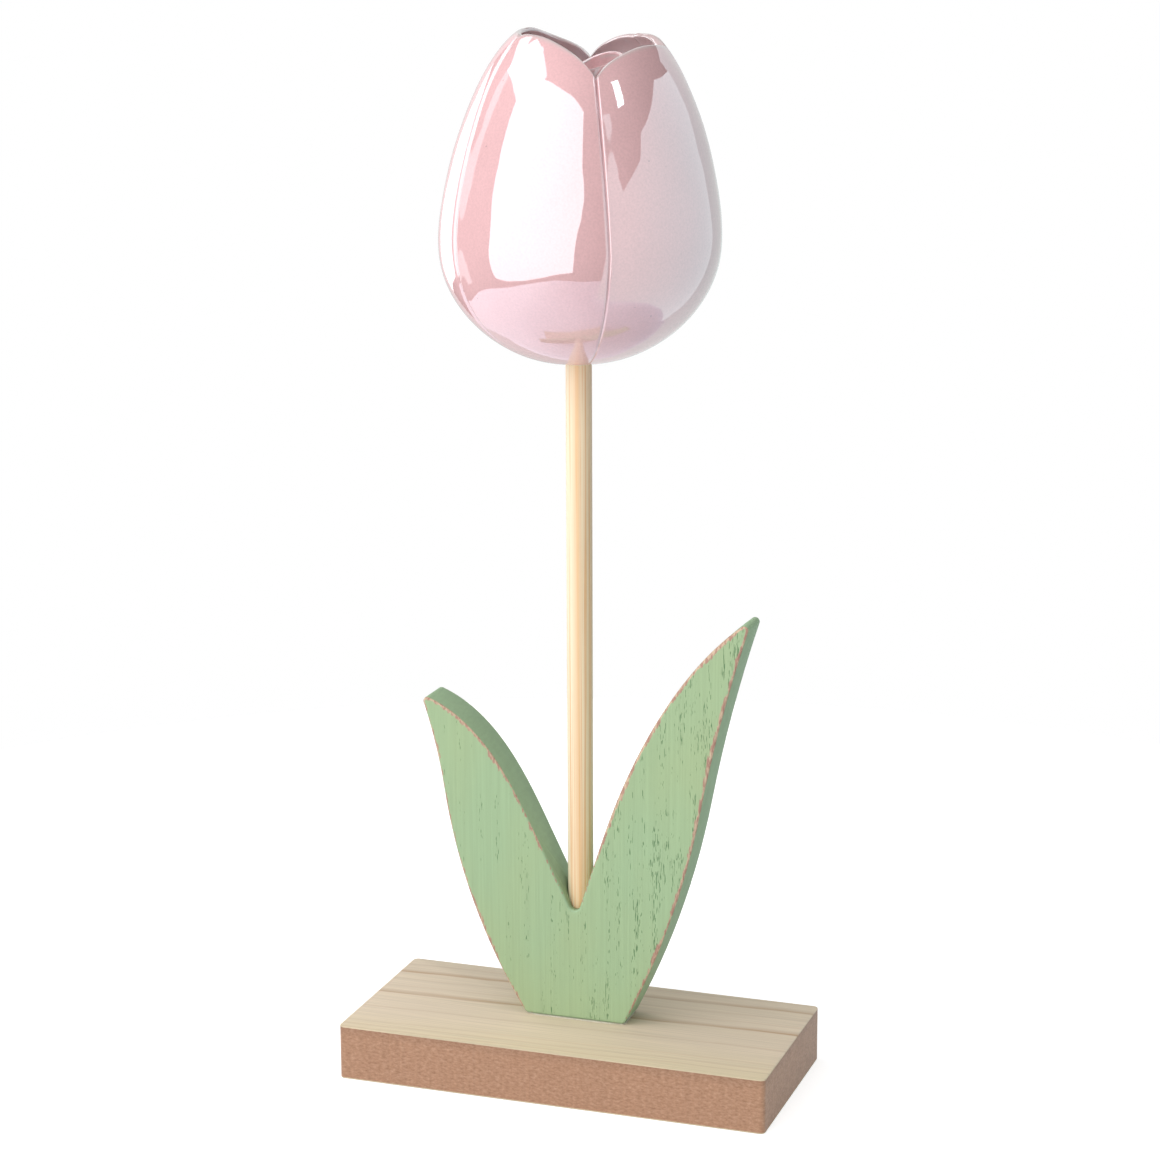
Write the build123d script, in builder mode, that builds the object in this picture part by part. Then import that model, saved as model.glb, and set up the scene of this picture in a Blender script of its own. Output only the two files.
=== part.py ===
"""Tulip ornament: a glazed ceramic flower head on a bamboo stem, a painted leaf cut-out and a board base.

Millimetres, +Z up. The origin is the centre of the base's underside. X runs along the base's long side,
and the leaf's front face looks along -Y.
"""
import os
from math import cos, radians, sin

from build123d import *

# Base block: a fibreboard core between two veneers
base_length = 100.0
base_depth = 46.0
base_core_thickness = 12.0
base_veneer_thickness = 0.3
base_corner_radius = 1.2

# Leaf cut-out: where it stands, and how its board is built up
leaf_aside = -0.6
leaf_set_back = 2.3
leaf_core_thickness = 9.0
leaf_veneer_thickness = 0.3
leaf_glue_thickness = 0.25
leaf_glue_squeeze_out = 0.7

# Leaf outline: reach to the side of the stem, height over the foot, and handles that bend the inner edges
leaf_foot_width = 23.6
leaf_foot_rounding = 1.3
notch_reach = 0.3
notch_height = 23.5
notch_rounding = 1.4
left_waist_reach = -31.1
left_waist_height = 51.5
left_waist_bow = 2.9
left_tip_reach = -36.5
left_tip_height = 73.3
left_tip_rounding = 1.0
left_tip_handle_reach = -23.1
left_tip_handle_height = 69.2
left_shoulder_reach = -9.4
left_shoulder_height = 43.4
left_shoulder_handle = 15.0
right_waist_reach = 29.6
right_waist_height = 52.0
right_waist_bow = 2.0
right_tip_reach = 41.1
right_tip_height = 96.6
right_tip_rounding = 1.0
right_tip_handle_reach = 24.0
right_tip_handle_height = 84.7
right_shoulder_reach = 6.3
right_shoulder_height = 42.0
right_shoulder_handle = 20.0

# Stem and its drilled socket in the leaf
stem_diameter = 5.8
stem_length = 165.0
stem_end_chamfer = 0.5
socket_floor_height = 8.0
socket_clearance = 0.05
socket_point_depth = 1.7
socket_point_flat = 0.5

# Screws from below into the leaf's foot
screw_spacing = 13.0
screw_length = 25.0
screw_shank_diameter = 3.0
screw_head_diameter = 6.0
screw_head_height = 1.7
screw_head_recess = 0.3
screw_point_length = 3.0
screw_point_diameter = 0.5
screw_cross_length = 3.2
screw_cross_width = 0.9
screw_cross_depth = 1.1

# Flower head: walls, lean to the right, the stem's hole, and the glue that holds the stem
head_wall = 3.0
head_rim_wall = 1.6
head_lean = 0.021
head_stem_depth = 22.65
head_hole_clearance = 0.35
head_glue_depth = 8.0
head_glue_ring_height = 0.5
head_glue_ring_width = 0.5

# The head's side: its foot, belly and tips, and the handles that bend the curves between them
head_height = 71.6
head_tip_radius = 13.4
head_belly_height = 26.6
head_belly_radius = 30.75
head_foot_radius = 5.5
foot_handle_radius = 13.6
belly_lower_handle_height = 9.0
belly_upper_handle_height = 39.6
shoulder_handle_height = 65.4
shoulder_handle_radius = 23.3

# Rings across the head, as shares of the way along its lower side and its upper side
body_rings = ([0.0, 0.2, 0.4, 0.6, 0.8], [0.0, 0.2, 0.4, 0.6, 0.8, 1.0])
cavity_rings = ([0.25, 0.5, 0.8], [0.0, 0.2, 0.4, 0.52])
pocket_rings = ([], [0.6, 0.75, 0.9, 1.0])
pocket_overrun = 1.0

# Furrows between the petals, round from the front left: direction from +X, depth at the belly and at the rim,
# fall of the rim into the furrow, and drop of the tip of the petal that follows
furrows = [
    (-131.0, 0.5, 0.6, 1.4, 0.9),
    (-59.5, 0.5, 1.1, 9.5, 3.1),
    (17.0, 0.5, 0.6, 4.2, 1.5),
    (63.0, 0.5, 0.4, 1.7, 1.8),
    (108.5, 0.6, 1.2, 7.2, 0.7),
    (171.0, 0.5, 0.3, 0.6, 0.2),
]
furrow_sharpness = 12.0
petal_stations = [-1.0, -0.88, -0.5, 0.0, 0.5, 0.88]
petal_twist = -5.2
rim_slope_reach = 11.0
rim_slope_steepness = 0.3
rim_slope_flatness = 0.4

# Folded inner petals in the pocket: radius, first and swept angle, height of the rim over the head's foot
inner_petals = [
    (8.0, -10.0, 132.0, 65.4),
    (11.0, -158.0, 118.0, 63.4),
]
inner_petal_wall = 1.5
inner_petal_root = 2.0

# Levels and places that follow from the sizes above
base_top = base_core_thickness + 2 * base_veneer_thickness
leaf_foot = base_top + leaf_glue_thickness
leaf_thickness = leaf_core_thickness + 2 * leaf_veneer_thickness
leaf_back = leaf_set_back + leaf_thickness / 2
stem_bottom = leaf_foot + socket_floor_height
head_bottom = stem_bottom + stem_length - head_stem_depth
socket_diameter = stem_diameter + 2 * socket_clearance
head_hole_diameter = stem_diameter + 2 * head_hole_clearance
head_glue_ring_diameter = head_hole_diameter + 2 * head_glue_ring_width
leaf_top = leaf_foot + max(left_tip_height, right_tip_height)

# How a round or block solid stands on, or hangs from, its place
standing = (Align.CENTER, Align.CENTER, Align.MIN)
hanging = (Align.CENTER, Align.CENTER, Align.MAX)


def on_stem(level):
    """A place on the stem's axis, at a level over the ground."""
    return Location((leaf_aside, leaf_set_back, level))


def at_screws(level):
    """The two places on the screws' axes, at a level over the ground."""
    sides = (-screw_spacing / 2, screw_spacing / 2)
    return [Location((leaf_aside + side, leaf_set_back, level)) for side in sides]


def leaf_plane(depth):
    """The leaf's own plane, a depth in front of its back face, with its origin on the foot under the stem."""
    return Plane(origin=(leaf_aside, leaf_back - depth, leaf_foot), x_dir=(1, 0, 0), z_dir=(0, -1, 0))


# The head's side as two curves of radius and height, from the foot to the belly and on to the tips
with BuildLine():
    head_foot = (head_foot_radius, 0)
    head_belly = (head_belly_radius, head_belly_height)
    head_tip = (head_tip_radius, head_height)
    foot_handle = (foot_handle_radius, 0)
    belly_lower_handle = (head_belly_radius, belly_lower_handle_height)
    belly_upper_handle = (head_belly_radius, belly_upper_handle_height)
    shoulder_handle = (shoulder_handle_radius, shoulder_handle_height)
    lower_side = Bezier(head_foot, foot_handle, belly_lower_handle, head_belly)
    upper_side = Bezier(head_belly, belly_upper_handle, shoulder_handle, head_tip)


def on_head_axis(height):
    """A level plane on the head's leaning axis, at a height over the head's foot."""
    return Plane(origin=(leaf_aside + head_lean * height, leaf_set_back, head_bottom + height))


def climb_to_tips(height):
    """Share of the way from the belly to the tips, and nought under the belly."""
    return max(height - head_belly_height, 0) / (head_height - head_belly_height)


def furrow_depth(furrow, radius, height):
    """Depth of a furrow: it fades towards the head's foot and changes evenly from the belly to the rim."""
    belly_depth, rim_depth = furrow[1:3]
    if height < head_belly_height:
        return belly_depth * (radius - head_foot_radius) / (head_belly_radius - head_foot_radius)
    return belly_depth + (rim_depth - belly_depth) * climb_to_tips(height)


def petal_ring(side, share, wall, overrun=0):
    """A ring face across the head, set inwards by a wall, with a rounded petal between two furrows."""
    outside, along = side @ share, side % share
    crown = outside.X - wall * along.Y
    height = outside.Y + wall * along.X
    points = []
    for number, furrow in enumerate(furrows):
        following = furrows[(number + 1) % len(furrows)]
        half_angle = (following[0] - furrow[0]) % 360 / 2
        for station in petal_stations:
            nearest = furrow if station < 0 else following
            radius = crown - furrow_depth(nearest, crown, height) * abs(station) ** furrow_sharpness
            angle = radians(furrow[0] + half_angle * (1 + station) + petal_twist * climb_to_tips(height))
            points.append((radius * cos(angle), radius * sin(angle)))
    with BuildSketch(on_head_axis(height).offset(overrun)) as ring:
        with BuildLine():
            Spline(*points, periodic=True)
        make_face()
    return ring.sketch.face()


def head_rings(shares, wall):
    """The head's ring faces at shares of its lower and its upper side, for a loft."""
    lower_shares, upper_shares = shares
    rings = [petal_ring(lower_side, share, wall) for share in lower_shares]
    return rings + [petal_ring(upper_side, share, wall) for share in upper_shares]


os.makedirs("parts", exist_ok=True)

# Screws without their cross recess, which also cut their own way into the boards
with BuildPart() as screw_bodies:
    with Locations(*at_screws(screw_head_recess)):
        Cone(screw_head_diameter / 2, screw_shank_diameter / 2, screw_head_height, align=standing)
        Cylinder(screw_shank_diameter / 2, screw_length - screw_point_length, align=standing)
    with Locations(*at_screws(screw_head_recess + screw_length - screw_point_length)):
        Cone(screw_shank_diameter / 2, screw_point_diameter / 2, screw_point_length, align=standing)

with BuildPart() as foot_screws:
    add(screw_bodies.part)
    with Locations(*at_screws(screw_head_recess)):
        Box(screw_cross_length, screw_cross_width, screw_cross_depth, align=standing, mode=Mode.SUBTRACT)
        Box(screw_cross_width, screw_cross_length, screw_cross_depth, align=standing, mode=Mode.SUBTRACT)

# The base's three layers
with BuildSketch() as base_outline:
    RectangleRounded(base_length, base_depth, base_corner_radius)

with BuildPart() as base_bottom_veneer:
    add(base_outline.sketch)
    extrude(amount=base_veneer_thickness)
    with Locations(*at_screws(0)):
        Cylinder(screw_head_diameter / 2, screw_head_recess, align=standing, mode=Mode.SUBTRACT)
    add(screw_bodies.part, mode=Mode.SUBTRACT)

with BuildPart() as base_core:
    with BuildSketch(Plane.XY.offset(base_veneer_thickness)):
        add(base_outline.sketch)
    extrude(amount=base_core_thickness)
    add(screw_bodies.part, mode=Mode.SUBTRACT)

with BuildPart() as base_top_veneer:
    with BuildSketch(Plane.XY.offset(base_veneer_thickness + base_core_thickness)):
        add(base_outline.sketch)
    extrude(amount=base_veneer_thickness)
    add(screw_bodies.part, mode=Mode.SUBTRACT)

# Glue film under the leaf's foot
with BuildPart() as leaf_foot_glue:
    with BuildSketch(Plane(origin=(leaf_aside, leaf_set_back, base_top))):
        film_length = leaf_foot_width + 2 * leaf_glue_squeeze_out
        film_width = leaf_thickness + 2 * leaf_glue_squeeze_out
        RectangleRounded(film_length, film_width, leaf_foot_rounding)
    extrude(amount=leaf_glue_thickness)
    add(screw_bodies.part, mode=Mode.SUBTRACT)

# The leaf's outline, with its two blades and rounded corners
with BuildSketch() as leaf_outline:
    foot_left = (-leaf_foot_width / 2, 0)
    foot_right = (leaf_foot_width / 2, 0)
    notch = (notch_reach, notch_height)
    left_tip = (left_tip_reach, left_tip_height)
    left_tip_handle = (left_tip_handle_reach, left_tip_handle_height)
    right_tip = (right_tip_reach, right_tip_height)
    right_tip_handle = (right_tip_handle_reach, right_tip_handle_height)
    with BuildLine():
        Line(foot_left, foot_right)
        right_side = SagittaArc(foot_right, (right_waist_reach, right_waist_height), -right_waist_bow)
        TangentArc(right_side @ 1, right_tip, tangent=right_side % 1)
        right_throat = Line(notch, (right_shoulder_reach, right_shoulder_height))
        right_shoulder_bend = right_throat @ 1 + right_throat % 1 * right_shoulder_handle
        Bezier(right_throat @ 1, right_shoulder_bend, right_tip_handle, right_tip)
        left_throat = Line(notch, (left_shoulder_reach, left_shoulder_height))
        left_shoulder_bend = left_throat @ 1 + left_throat % 1 * left_shoulder_handle
        Bezier(left_throat @ 1, left_shoulder_bend, left_tip_handle, left_tip)
        left_side = SagittaArc(foot_left, (left_waist_reach, left_waist_height), left_waist_bow)
        TangentArc(left_side @ 1, left_tip, tangent=left_side % 1)
    make_face()
    corner_roundings = [
        (foot_left, leaf_foot_rounding),
        (foot_right, leaf_foot_rounding),
        (notch, notch_rounding),
        (left_tip, left_tip_rounding),
        (right_tip, right_tip_rounding),
    ]
    for corner, rounding in corner_roundings:
        fillet(leaf_outline.vertices().sort_by_distance((*corner, 0))[0], rounding)

with BuildPart() as leaf_back_veneer:
    with BuildSketch(leaf_plane(0)):
        add(leaf_outline.sketch)
    extrude(amount=leaf_veneer_thickness)

with BuildPart() as leaf_core:
    with BuildSketch(leaf_plane(leaf_veneer_thickness)):
        add(leaf_outline.sketch)
    extrude(amount=leaf_core_thickness)
    with Locations(on_stem(stem_bottom)):
        Cylinder(socket_diameter / 2, leaf_top - stem_bottom, align=standing, mode=Mode.SUBTRACT)
        Cone(
            socket_point_flat / 2, socket_diameter / 2, socket_point_depth, align=hanging, mode=Mode.SUBTRACT
        )
    add(screw_bodies.part, mode=Mode.SUBTRACT)

with BuildPart() as leaf_front_veneer:
    with BuildSketch(leaf_plane(leaf_veneer_thickness + leaf_core_thickness)):
        add(leaf_outline.sketch)
    extrude(amount=leaf_veneer_thickness)

# The stem, and the glue in the drill point under it
with BuildPart() as socket_glue:
    with Locations(on_stem(stem_bottom)):
        Cone(socket_point_flat / 2, socket_diameter / 2, socket_point_depth, align=hanging)

with BuildPart() as stem:
    with Locations(on_stem(stem_bottom)):
        Cylinder(stem_diameter / 2, stem_length, align=standing)
    chamfer(stem.edges().filter_by(GeomType.CIRCLE), stem_end_chamfer)

# Folded inner petals, rooted in the pocket's floor
pocket_height = (upper_side @ pocket_rings[1][0]).Y
with BuildPart() as folded_petals:
    for radius, first_angle, sweep_angle, rim_height in inner_petals:
        with BuildSketch(on_head_axis(pocket_height).offset(-inner_petal_root)):
            with BuildLine():
                CenterArc((0, 0), radius, first_angle, sweep_angle)
            trace(line_width=inner_petal_wall)
        extrude(amount=rim_height - pocket_height + inner_petal_root)

# The hollow flower head: outer shape, cavity and pocket
with BuildPart() as tulip_head:
    loft(head_rings(body_rings, 0))
    loft(head_rings(cavity_rings, head_wall), mode=Mode.SUBTRACT)
    above_rim = petal_ring(upper_side, pocket_rings[1][-1], head_rim_wall, overrun=pocket_overrun)
    loft(head_rings(pocket_rings, head_rim_wall) + [above_rim], mode=Mode.SUBTRACT)

    # The petals' own tips, and the rim's fall to the furrow before each petal
    for number, (direction, belly_depth, rim_depth, rim_fall, tip_drop) in enumerate(furrows):
        rim_angle = radians(direction + petal_twist)
        next_angle = radians(furrows[(number + 1) % len(furrows)][0] + petal_twist)
        far = 2 * head_belly_radius
        corners = [(far * cos(angle), far * sin(angle)) for angle in (rim_angle, next_angle)]
        with BuildSketch(on_head_axis(head_height).offset(-tip_drop)):
            with BuildLine():
                Polyline((0, 0), *corners, close=True)
            make_face()
        extrude(amount=head_height, mode=Mode.SUBTRACT)

        outwards = (cos(rim_angle), sin(rim_angle), 0)
        across = (-outwards[1], outwards[0], 0)
        with BuildSketch(Plane(origin=on_head_axis(head_height).origin, x_dir=across, z_dir=outwards)):
            notch_point = (0, -rim_fall)
            steep = rim_slope_steepness * rim_slope_reach
            flat = rim_slope_flatness * rim_slope_reach
            with BuildLine():
                for side in (-1, 1):
                    slope_top = (side * rim_slope_reach, 0)
                    Bezier(notch_point, (side * steep, -rim_fall / 2), (side * flat, 0), slope_top)
                    Line(slope_top, (side * rim_slope_reach, rim_fall))
                Line((-rim_slope_reach, rim_fall), (rim_slope_reach, rim_fall))
            make_face()
        extrude(amount=head_belly_radius, mode=Mode.SUBTRACT)
    add(folded_petals.part)
    with Locations(on_stem(head_bottom)):
        Cylinder(head_hole_diameter / 2, head_stem_depth, align=standing, mode=Mode.SUBTRACT)

# Hot-melt glue in the cavity round the stem, with a thin ring under the hole
with BuildPart() as head_glue:
    loft(head_rings(cavity_rings, head_wall))
    split(bisect_by=Plane.XY.offset(head_bottom + head_glue_depth), keep=Keep.BOTTOM)
    with Locations(on_stem(head_bottom)):
        Cylinder(head_hole_diameter / 2, head_glue_depth, align=standing)
        Cylinder(head_glue_ring_diameter / 2, head_glue_ring_height, align=hanging)
    with Locations(on_stem(stem_bottom)):
        Cylinder(stem_diameter / 2, stem_length, align=standing, mode=Mode.SUBTRACT)

pieces = {
    "foot_screws": foot_screws,
    "base_bottom_veneer": base_bottom_veneer,
    "base_core": base_core,
    "base_top_veneer": base_top_veneer,
    "leaf_foot_glue": leaf_foot_glue,
    "leaf_back_veneer": leaf_back_veneer,
    "leaf_core": leaf_core,
    "leaf_front_veneer": leaf_front_veneer,
    "socket_glue": socket_glue,
    "stem": stem,
    "tulip_head": tulip_head,
    "head_glue": head_glue,
}
for piece_name, piece in pieces.items():
    piece.part.label = piece_name
    export_step(piece.part, f"parts/{piece_name}.step")
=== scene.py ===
from math import cos, pi, radians, sin

import bmesh
import bpy
import numpy as np
from bpy.props import FloatProperty, FloatVectorProperty, PointerProperty
from bpy.types import Operator, Panel, PropertyGroup
from mathutils import Matrix, Vector


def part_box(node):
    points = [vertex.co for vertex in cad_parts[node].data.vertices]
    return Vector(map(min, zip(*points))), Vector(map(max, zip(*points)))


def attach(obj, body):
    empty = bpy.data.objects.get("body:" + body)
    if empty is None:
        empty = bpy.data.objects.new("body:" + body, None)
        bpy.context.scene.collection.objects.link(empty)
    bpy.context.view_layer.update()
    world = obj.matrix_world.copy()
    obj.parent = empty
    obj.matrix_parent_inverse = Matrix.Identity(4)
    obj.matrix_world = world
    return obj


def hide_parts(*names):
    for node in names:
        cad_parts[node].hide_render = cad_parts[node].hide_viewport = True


# A tulip ornament: a lustre-glazed ceramic flower head on a bamboo stem, a painted leaf and a veneered base.
# Everything is in metres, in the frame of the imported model. +Z is up, and the leaf's front looks along -Y.
bl_info = {
    "name": "Tulip ornament",
    "version": (1, 0, 0),
    "blender": (4, 5, 0),
    "location": "View3D > Sidebar > Tulip",
    "description": "Models and finishes a tulip ornament around its packed frame",
    "category": "Object",
}

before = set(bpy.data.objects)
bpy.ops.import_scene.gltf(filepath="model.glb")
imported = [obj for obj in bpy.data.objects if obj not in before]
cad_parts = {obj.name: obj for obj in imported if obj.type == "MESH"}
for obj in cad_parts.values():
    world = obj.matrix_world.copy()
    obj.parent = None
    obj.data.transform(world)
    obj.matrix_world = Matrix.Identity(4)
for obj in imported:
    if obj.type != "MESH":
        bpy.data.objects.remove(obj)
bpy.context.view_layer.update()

MM = 0.001

# Distances under which two vertices are merged, and under which two places count as one
MERGED = 0.001 * MM
TOUCHING = 0.01 * MM

# Places that the frame gives
head_low, head_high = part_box("tulip_head")
stem_low, stem_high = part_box("stem")
leaf_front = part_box("leaf_front_veneer")[0].y
leaf_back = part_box("leaf_back_veneer")[1].y
leaf_low, leaf_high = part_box("leaf_core")
base_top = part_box("base_core")[1].z
screws_low, screws_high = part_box("foot_screws")
stem_axis = (stem_low + stem_high) / 2
stem_radius = (stem_high.x - stem_low.x) / 2
screw_head_radius = (screws_high.y - screws_low.y) / 2
screw_places = (screws_low.x + screw_head_radius, screws_high.x - screw_head_radius)

# Furrows between the petals, round from the front left: direction from +X in degrees, then in millimetres the
# depth at the belly and at the notch, the width of its flank before and after, and the fall of the rim there
FURROWS = [
    (-131.0, 0.5, 0.6, 0.8, 0.8, 1.4),
    (-59.5, 0.5, 1.1, 0.5, 0.4, 9.6),
    (17.0, 0.5, 0.6, 0.8, 0.8, 4.3),
    (63.0, 0.5, 0.4, 0.8, 0.8, 1.7),
    (108.5, 0.6, 1.2, 0.6, 0.6, 7.2),
    (171.0, 0.5, 0.1, 0.8, 0.8, 0.25),
]

# Tip of the petal after each furrow: its place across the petal from -1 to 1, its drop in millimetres, and
# how late the rim falls from it
PETAL_TIPS = [
    (-0.73, 0.9, 2.5),
    (0.3, 3.2, 2.2),
    (0.4, 1.6, 2.2),
    (-0.75, 1.9, 2.2),
    (0.97, 0.3, 1.5),
    (-0.75, 0.15, 1.5),
]

# Two folded petals inside: radius, first and last direction in degrees, height of the rim over the head's
# foot at the first end, at the middle and at the last end, all lengths in millimetres
INNER_PETALS = [
    (8.0, -10.0, 122.0, 64.8, 66.0, 62.3),
    (11.0, -158.0, -40.0, 60.5, 62.4, 64.8),
]

# Swells of the hand-finished head: waves round it, rise in millimetres for each radian, and strength
HEAD_SWELLS = [
    (3, 9.0, 1.0),
    (5, -6.5, 0.7),
    (8, 4.0, 0.5),
    (13, -2.4, 0.3),
]

# Flutes round the bamboo rod, and waves round the squeezed-out glue: count, shift in radians, and strength
STEM_FLUTES = [
    (11, 0.0, 1.0),
    (17, 1.3, 0.6),
    (31, 0.4, 0.4),
]
BEAD_WAVES = [
    (5, 0.6, 0.15),
    (11, 0.0, 0.07),
    (23, 2.0, 0.03),
]

# Growth lines of the base's top veneer: place across the grain and width in millimetres, and strength
GROWTH_LINES = [
    (-21.0, 0.7, 0.35),
    (-18.6, 0.6, 0.4),
    (-16.0, 0.7, 0.3),
    (-7.6, 0.8, 0.4),
    (2.1, 2.0, 1.0),
    (6.4, 0.9, 0.25),
    (11.0, 0.8, 0.3),
    (15.6, 1.9, 0.95),
    (20.3, 0.8, 0.35),
]

# How far the growth lines are laid out to either side of the base's middle
VENEER_REACH = 27 * MM

# Lamps: azimuth and elevation from the flower head in degrees, distance, width and height in metres,
# radiance, and whether the glaze mirrors the lamp
LAMPS = [
    ("key_softbox", -21.3, 10.4, 1.1, 1.78, 1.79, 1.93, True),
    ("corner_softbox", -72.5, 45.6, 1.1, 0.98, 0.49, 1.8, True),
    ("corner_lamp", -111.0, 38.5, 1.1, 0.5, 0.22, 1.8, True),
    ("left_strip", -123.0, -2.0, 0.9, 0.6, 0.56, 2.4, True),
    ("left_fill", -96.0, 3.0, 0.9, 0.14, 0.96, 0.7, True),
    ("small_lamp", 60.5, 43.0, 1.2, 0.15, 0.24, 6.0, True),
    ("top_panel", 0.0, 84.0, 1.2, 0.8, 0.8, 2.6, False),
]

# Middle of the flower head, which the lamps and the room go round
HEAD_CENTRE = Vector((0, 0, 200 * MM))

# Top edge of the white card that the glaze mirrors: azimuth in degrees, height in millimetres
CARD_EDGE = [
    (38.0, 330.0),
    (47.3, 330.0),
    (48.3, 258.0),
    (51.0, 242.0),
    (62.0, 258.0),
    (69.0, 265.0),
    (70.5, 275.0),
    (72.0, 292.0),
    (87.0, 305.0),
    (111.0, 326.0),
    (142.0, 291.0),
]

# Sheets that stand round the ornament for the glaze to mirror: radius in millimetres, tone at the front and
# at the back, light that the sheet gives, and its top edge
SHEETS = [
    ("white_card", 170.0, 0.85, 1.6, 1.4, CARD_EDGE),
    ("pale_screen", 180.0, 1.05, 1.05, 1.2, [(140.0, 320.0), (200.0, 320.0)]),
    ("grey_screen", 180.0, 0.75, 0.75, 1.2, [(200.0, 320.0), (233.0, 320.0)]),
]

# Tone of the dark room as the glaze mirrors it
FELT_TONE = 0.08


def linear(hex_colour):
    """Linear red, green and blue of an sRGB hex colour."""
    channels = [int(hex_colour[start:start + 2], 16) / 255 for start in (0, 2, 4)]
    return [c / 12.92 if c <= 0.04045 else ((c + 0.055) / 1.055) ** 2.4 for c in channels]


def length(name, description, millimetres):
    """A length that a user may change, given in millimetres and kept in metres."""
    return FloatProperty(
        name=name, description=description, default=millimetres * MM, unit="LENGTH", precision=5
    )


def share(name, description, default):
    """A plain number from 0 to 1 that a user may change."""
    return FloatProperty(name=name, description=description, default=default, min=0, max=1, subtype="FACTOR")


def angle(name, description, degrees):
    """An angle that a user may change, given in degrees."""
    return FloatProperty(name=name, description=description, default=radians(degrees), subtype="ANGLE")


def colour(name, description, hex_colour):
    """A colour that a user may change, given as an sRGB hex value."""
    return FloatVectorProperty(
        name=name, description=description, default=linear(hex_colour), subtype="COLOR", min=0, max=1
    )


class FlowerSettings(PropertyGroup):
    """Sizes and colours of the glazed flower head."""

    belly_height: length("Belly height", "Height of the widest ring over the head's foot", 26.6)
    belly_radius: length("Belly radius", "Radius at the widest ring", 30.75)
    foot_radius: length("Foot radius", "Radius of the flat foot round the stem", 5.5)
    foot_handle: length("Foot handle", "Radius up to which the foot runs out flat", 13.6)
    low_handle: length("Lower handle", "Height from which the side turns upright below the belly", 9.0)
    high_handle: length("Upper handle", "Height up to which the side stays upright above the belly", 39.6)
    shoulder_radius: length("Shoulder radius", "Radius at which the side bends in to the tips", 23.3)
    shoulder_height: length("Shoulder height", "Height at which the side bends in to the tips", 65.4)
    rim_radius: length("Rim radius", "Outer radius under the petals' tips", 13.4)
    rim_wall: length("Rim wall", "Thickness of the petals at the rim", 1.1)
    wall: length("Wall", "Thickness of the hollow casting", 3.0)
    hole_radius: length("Hole radius", "Radius of the stem's hole in the foot", 3.25)
    pocket_floor: length("Pocket floor", "Height of the floor between the petals over the head's foot", 56.8)
    lean: FloatProperty(name="Lean", description="Sideways lean for each unit of height", default=0.021)
    unevenness: length("Unevenness", "Swell and dip of the hand-finished surface", 0.16)
    lobe_share: share("Lobe share", "Part of a furrow's depth that the whole petal's roundness takes", 0.12)
    hollow_depth: length("Hollow depth", "Depth of the shallow hollow beside each petal's raised edge", 0.2)
    hollow_reach: length("Hollow reach", "How far that hollow lies from the edge", 2.5)
    twist: angle("Twist", "Turn of the petals from the belly to the tips", -5.2)
    crowding: share("Crowding", "How far the mesh is drawn together at the furrows, for sharp creases", 0.42)
    notch_share: share("Notch share", "Part of the head's height at which the furrows are deepest", 0.877)
    inner_petal_wall: length("Inner petal wall", "Thickness of the folded inner petals", 1.0)
    inner_petal_root: length("Inner petal root", "How deep the inner petals stand in the pocket's floor", 0.8)
    glaze: colour("Glaze", "Pink body of the glaze", "F2C3C5")
    # The pale lip glaze is also laid inside the pocket, as painted light that makes its shade paler
    thin_glaze_and_pocket_light: colour("Thin glaze", "Glaze where it runs thin over the lip", "D8CDCB")
    pooled_glaze: colour("Pooled glaze", "Glaze where it lies thick in the furrows", "CFB4B2")
    lustre_film: FloatProperty(
        name="Lustre film", description="Thickness of the pearl lustre in nanometres", default=54.0
    )


class StemSettings(PropertyGroup):
    """Sizes and colours of the bamboo stem."""

    end_chamfer: length("End chamfer", "Chamfer at both ends", 0.5)
    flute_depth: length("Flute depth", "Depth of the shallow flutes that the fibres leave", 0.03)
    cream: colour("Cream", "Pale bamboo between the fibres", "F3E4C8")
    honey: colour("Honey", "Fibre bundles", "E6B887")
    tan: colour("Tan", "Weathered streaks", "D9C3A0")
    streak: colour("Streak", "Broad honey streak along the rod", "EAB980")


class LeafSettings(PropertyGroup):
    """Sizes and colours of the painted leaf."""

    edge_rounding: length("Edge rounding", "Rounding that sanding leaves on the edges", 0.5)
    rub_reach: length("Rub reach", "How far the sanding can reach over the face", 1.3)
    notch_height: length("Notch height", "Height of the notch between the blades over the leaf's foot", 23.5)
    kept_notch: length("Kept notch", "How far from the notch the paint was left alone", 4.5)
    socket_play: length("Socket play", "Room round the stem in its socket", 0.3)
    socket_floor: length("Socket floor", "Height of the socket's floor over the leaf's foot", 8.0)
    paint: colour("Paint", "Matt green paint", "9DB78F")
    warm_paint: colour("Warm paint", "Paint where it is thinner and yellower", "A1B68B")
    edge_paint: colour("Edge paint", "Paint on the smooth edges", "9DB892")
    pore: colour("Pore", "Shade in the open pores", "5F8158")
    bare_veneer: colour("Bare veneer", "Wood that shows where the paint is rubbed off", "CDB398")
    bare_board: colour("Bare board", "Fibreboard that shows under the rubbed edges", "AE8676")


class BaseSettings(PropertyGroup):
    """Sizes and colours of the veneered base."""

    corner_rounding: length("Corner rounding", "Rounding of the upright corners", 1.2)
    edge_easing: length("Edge easing", "Easing of the top and bottom edges", 0.15)
    screw_hole: length("Screw hole", "Radius of the holes for the screws' shanks", 1.5)
    countersink: length("Countersink", "Depth of the screw heads' seats in the board", 1.7)
    veneer: colour("Veneer", "Pale sanded veneer", "DAC8B1")
    yellow_veneer: colour("Yellow veneer", "Yellower band along the veneer's front", "D2C2A2")
    veneer_line: colour("Veneer line", "Growth lines in the veneer", "AC845E")
    board: colour("Board", "Fibreboard, mid tone", "B0866A")
    board_dark: colour("Dark fibre", "Darker fibres in the board", "9B7359")
    board_pale: colour("Pale fibre", "Paler fibres in the board", "C39C83")


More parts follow.
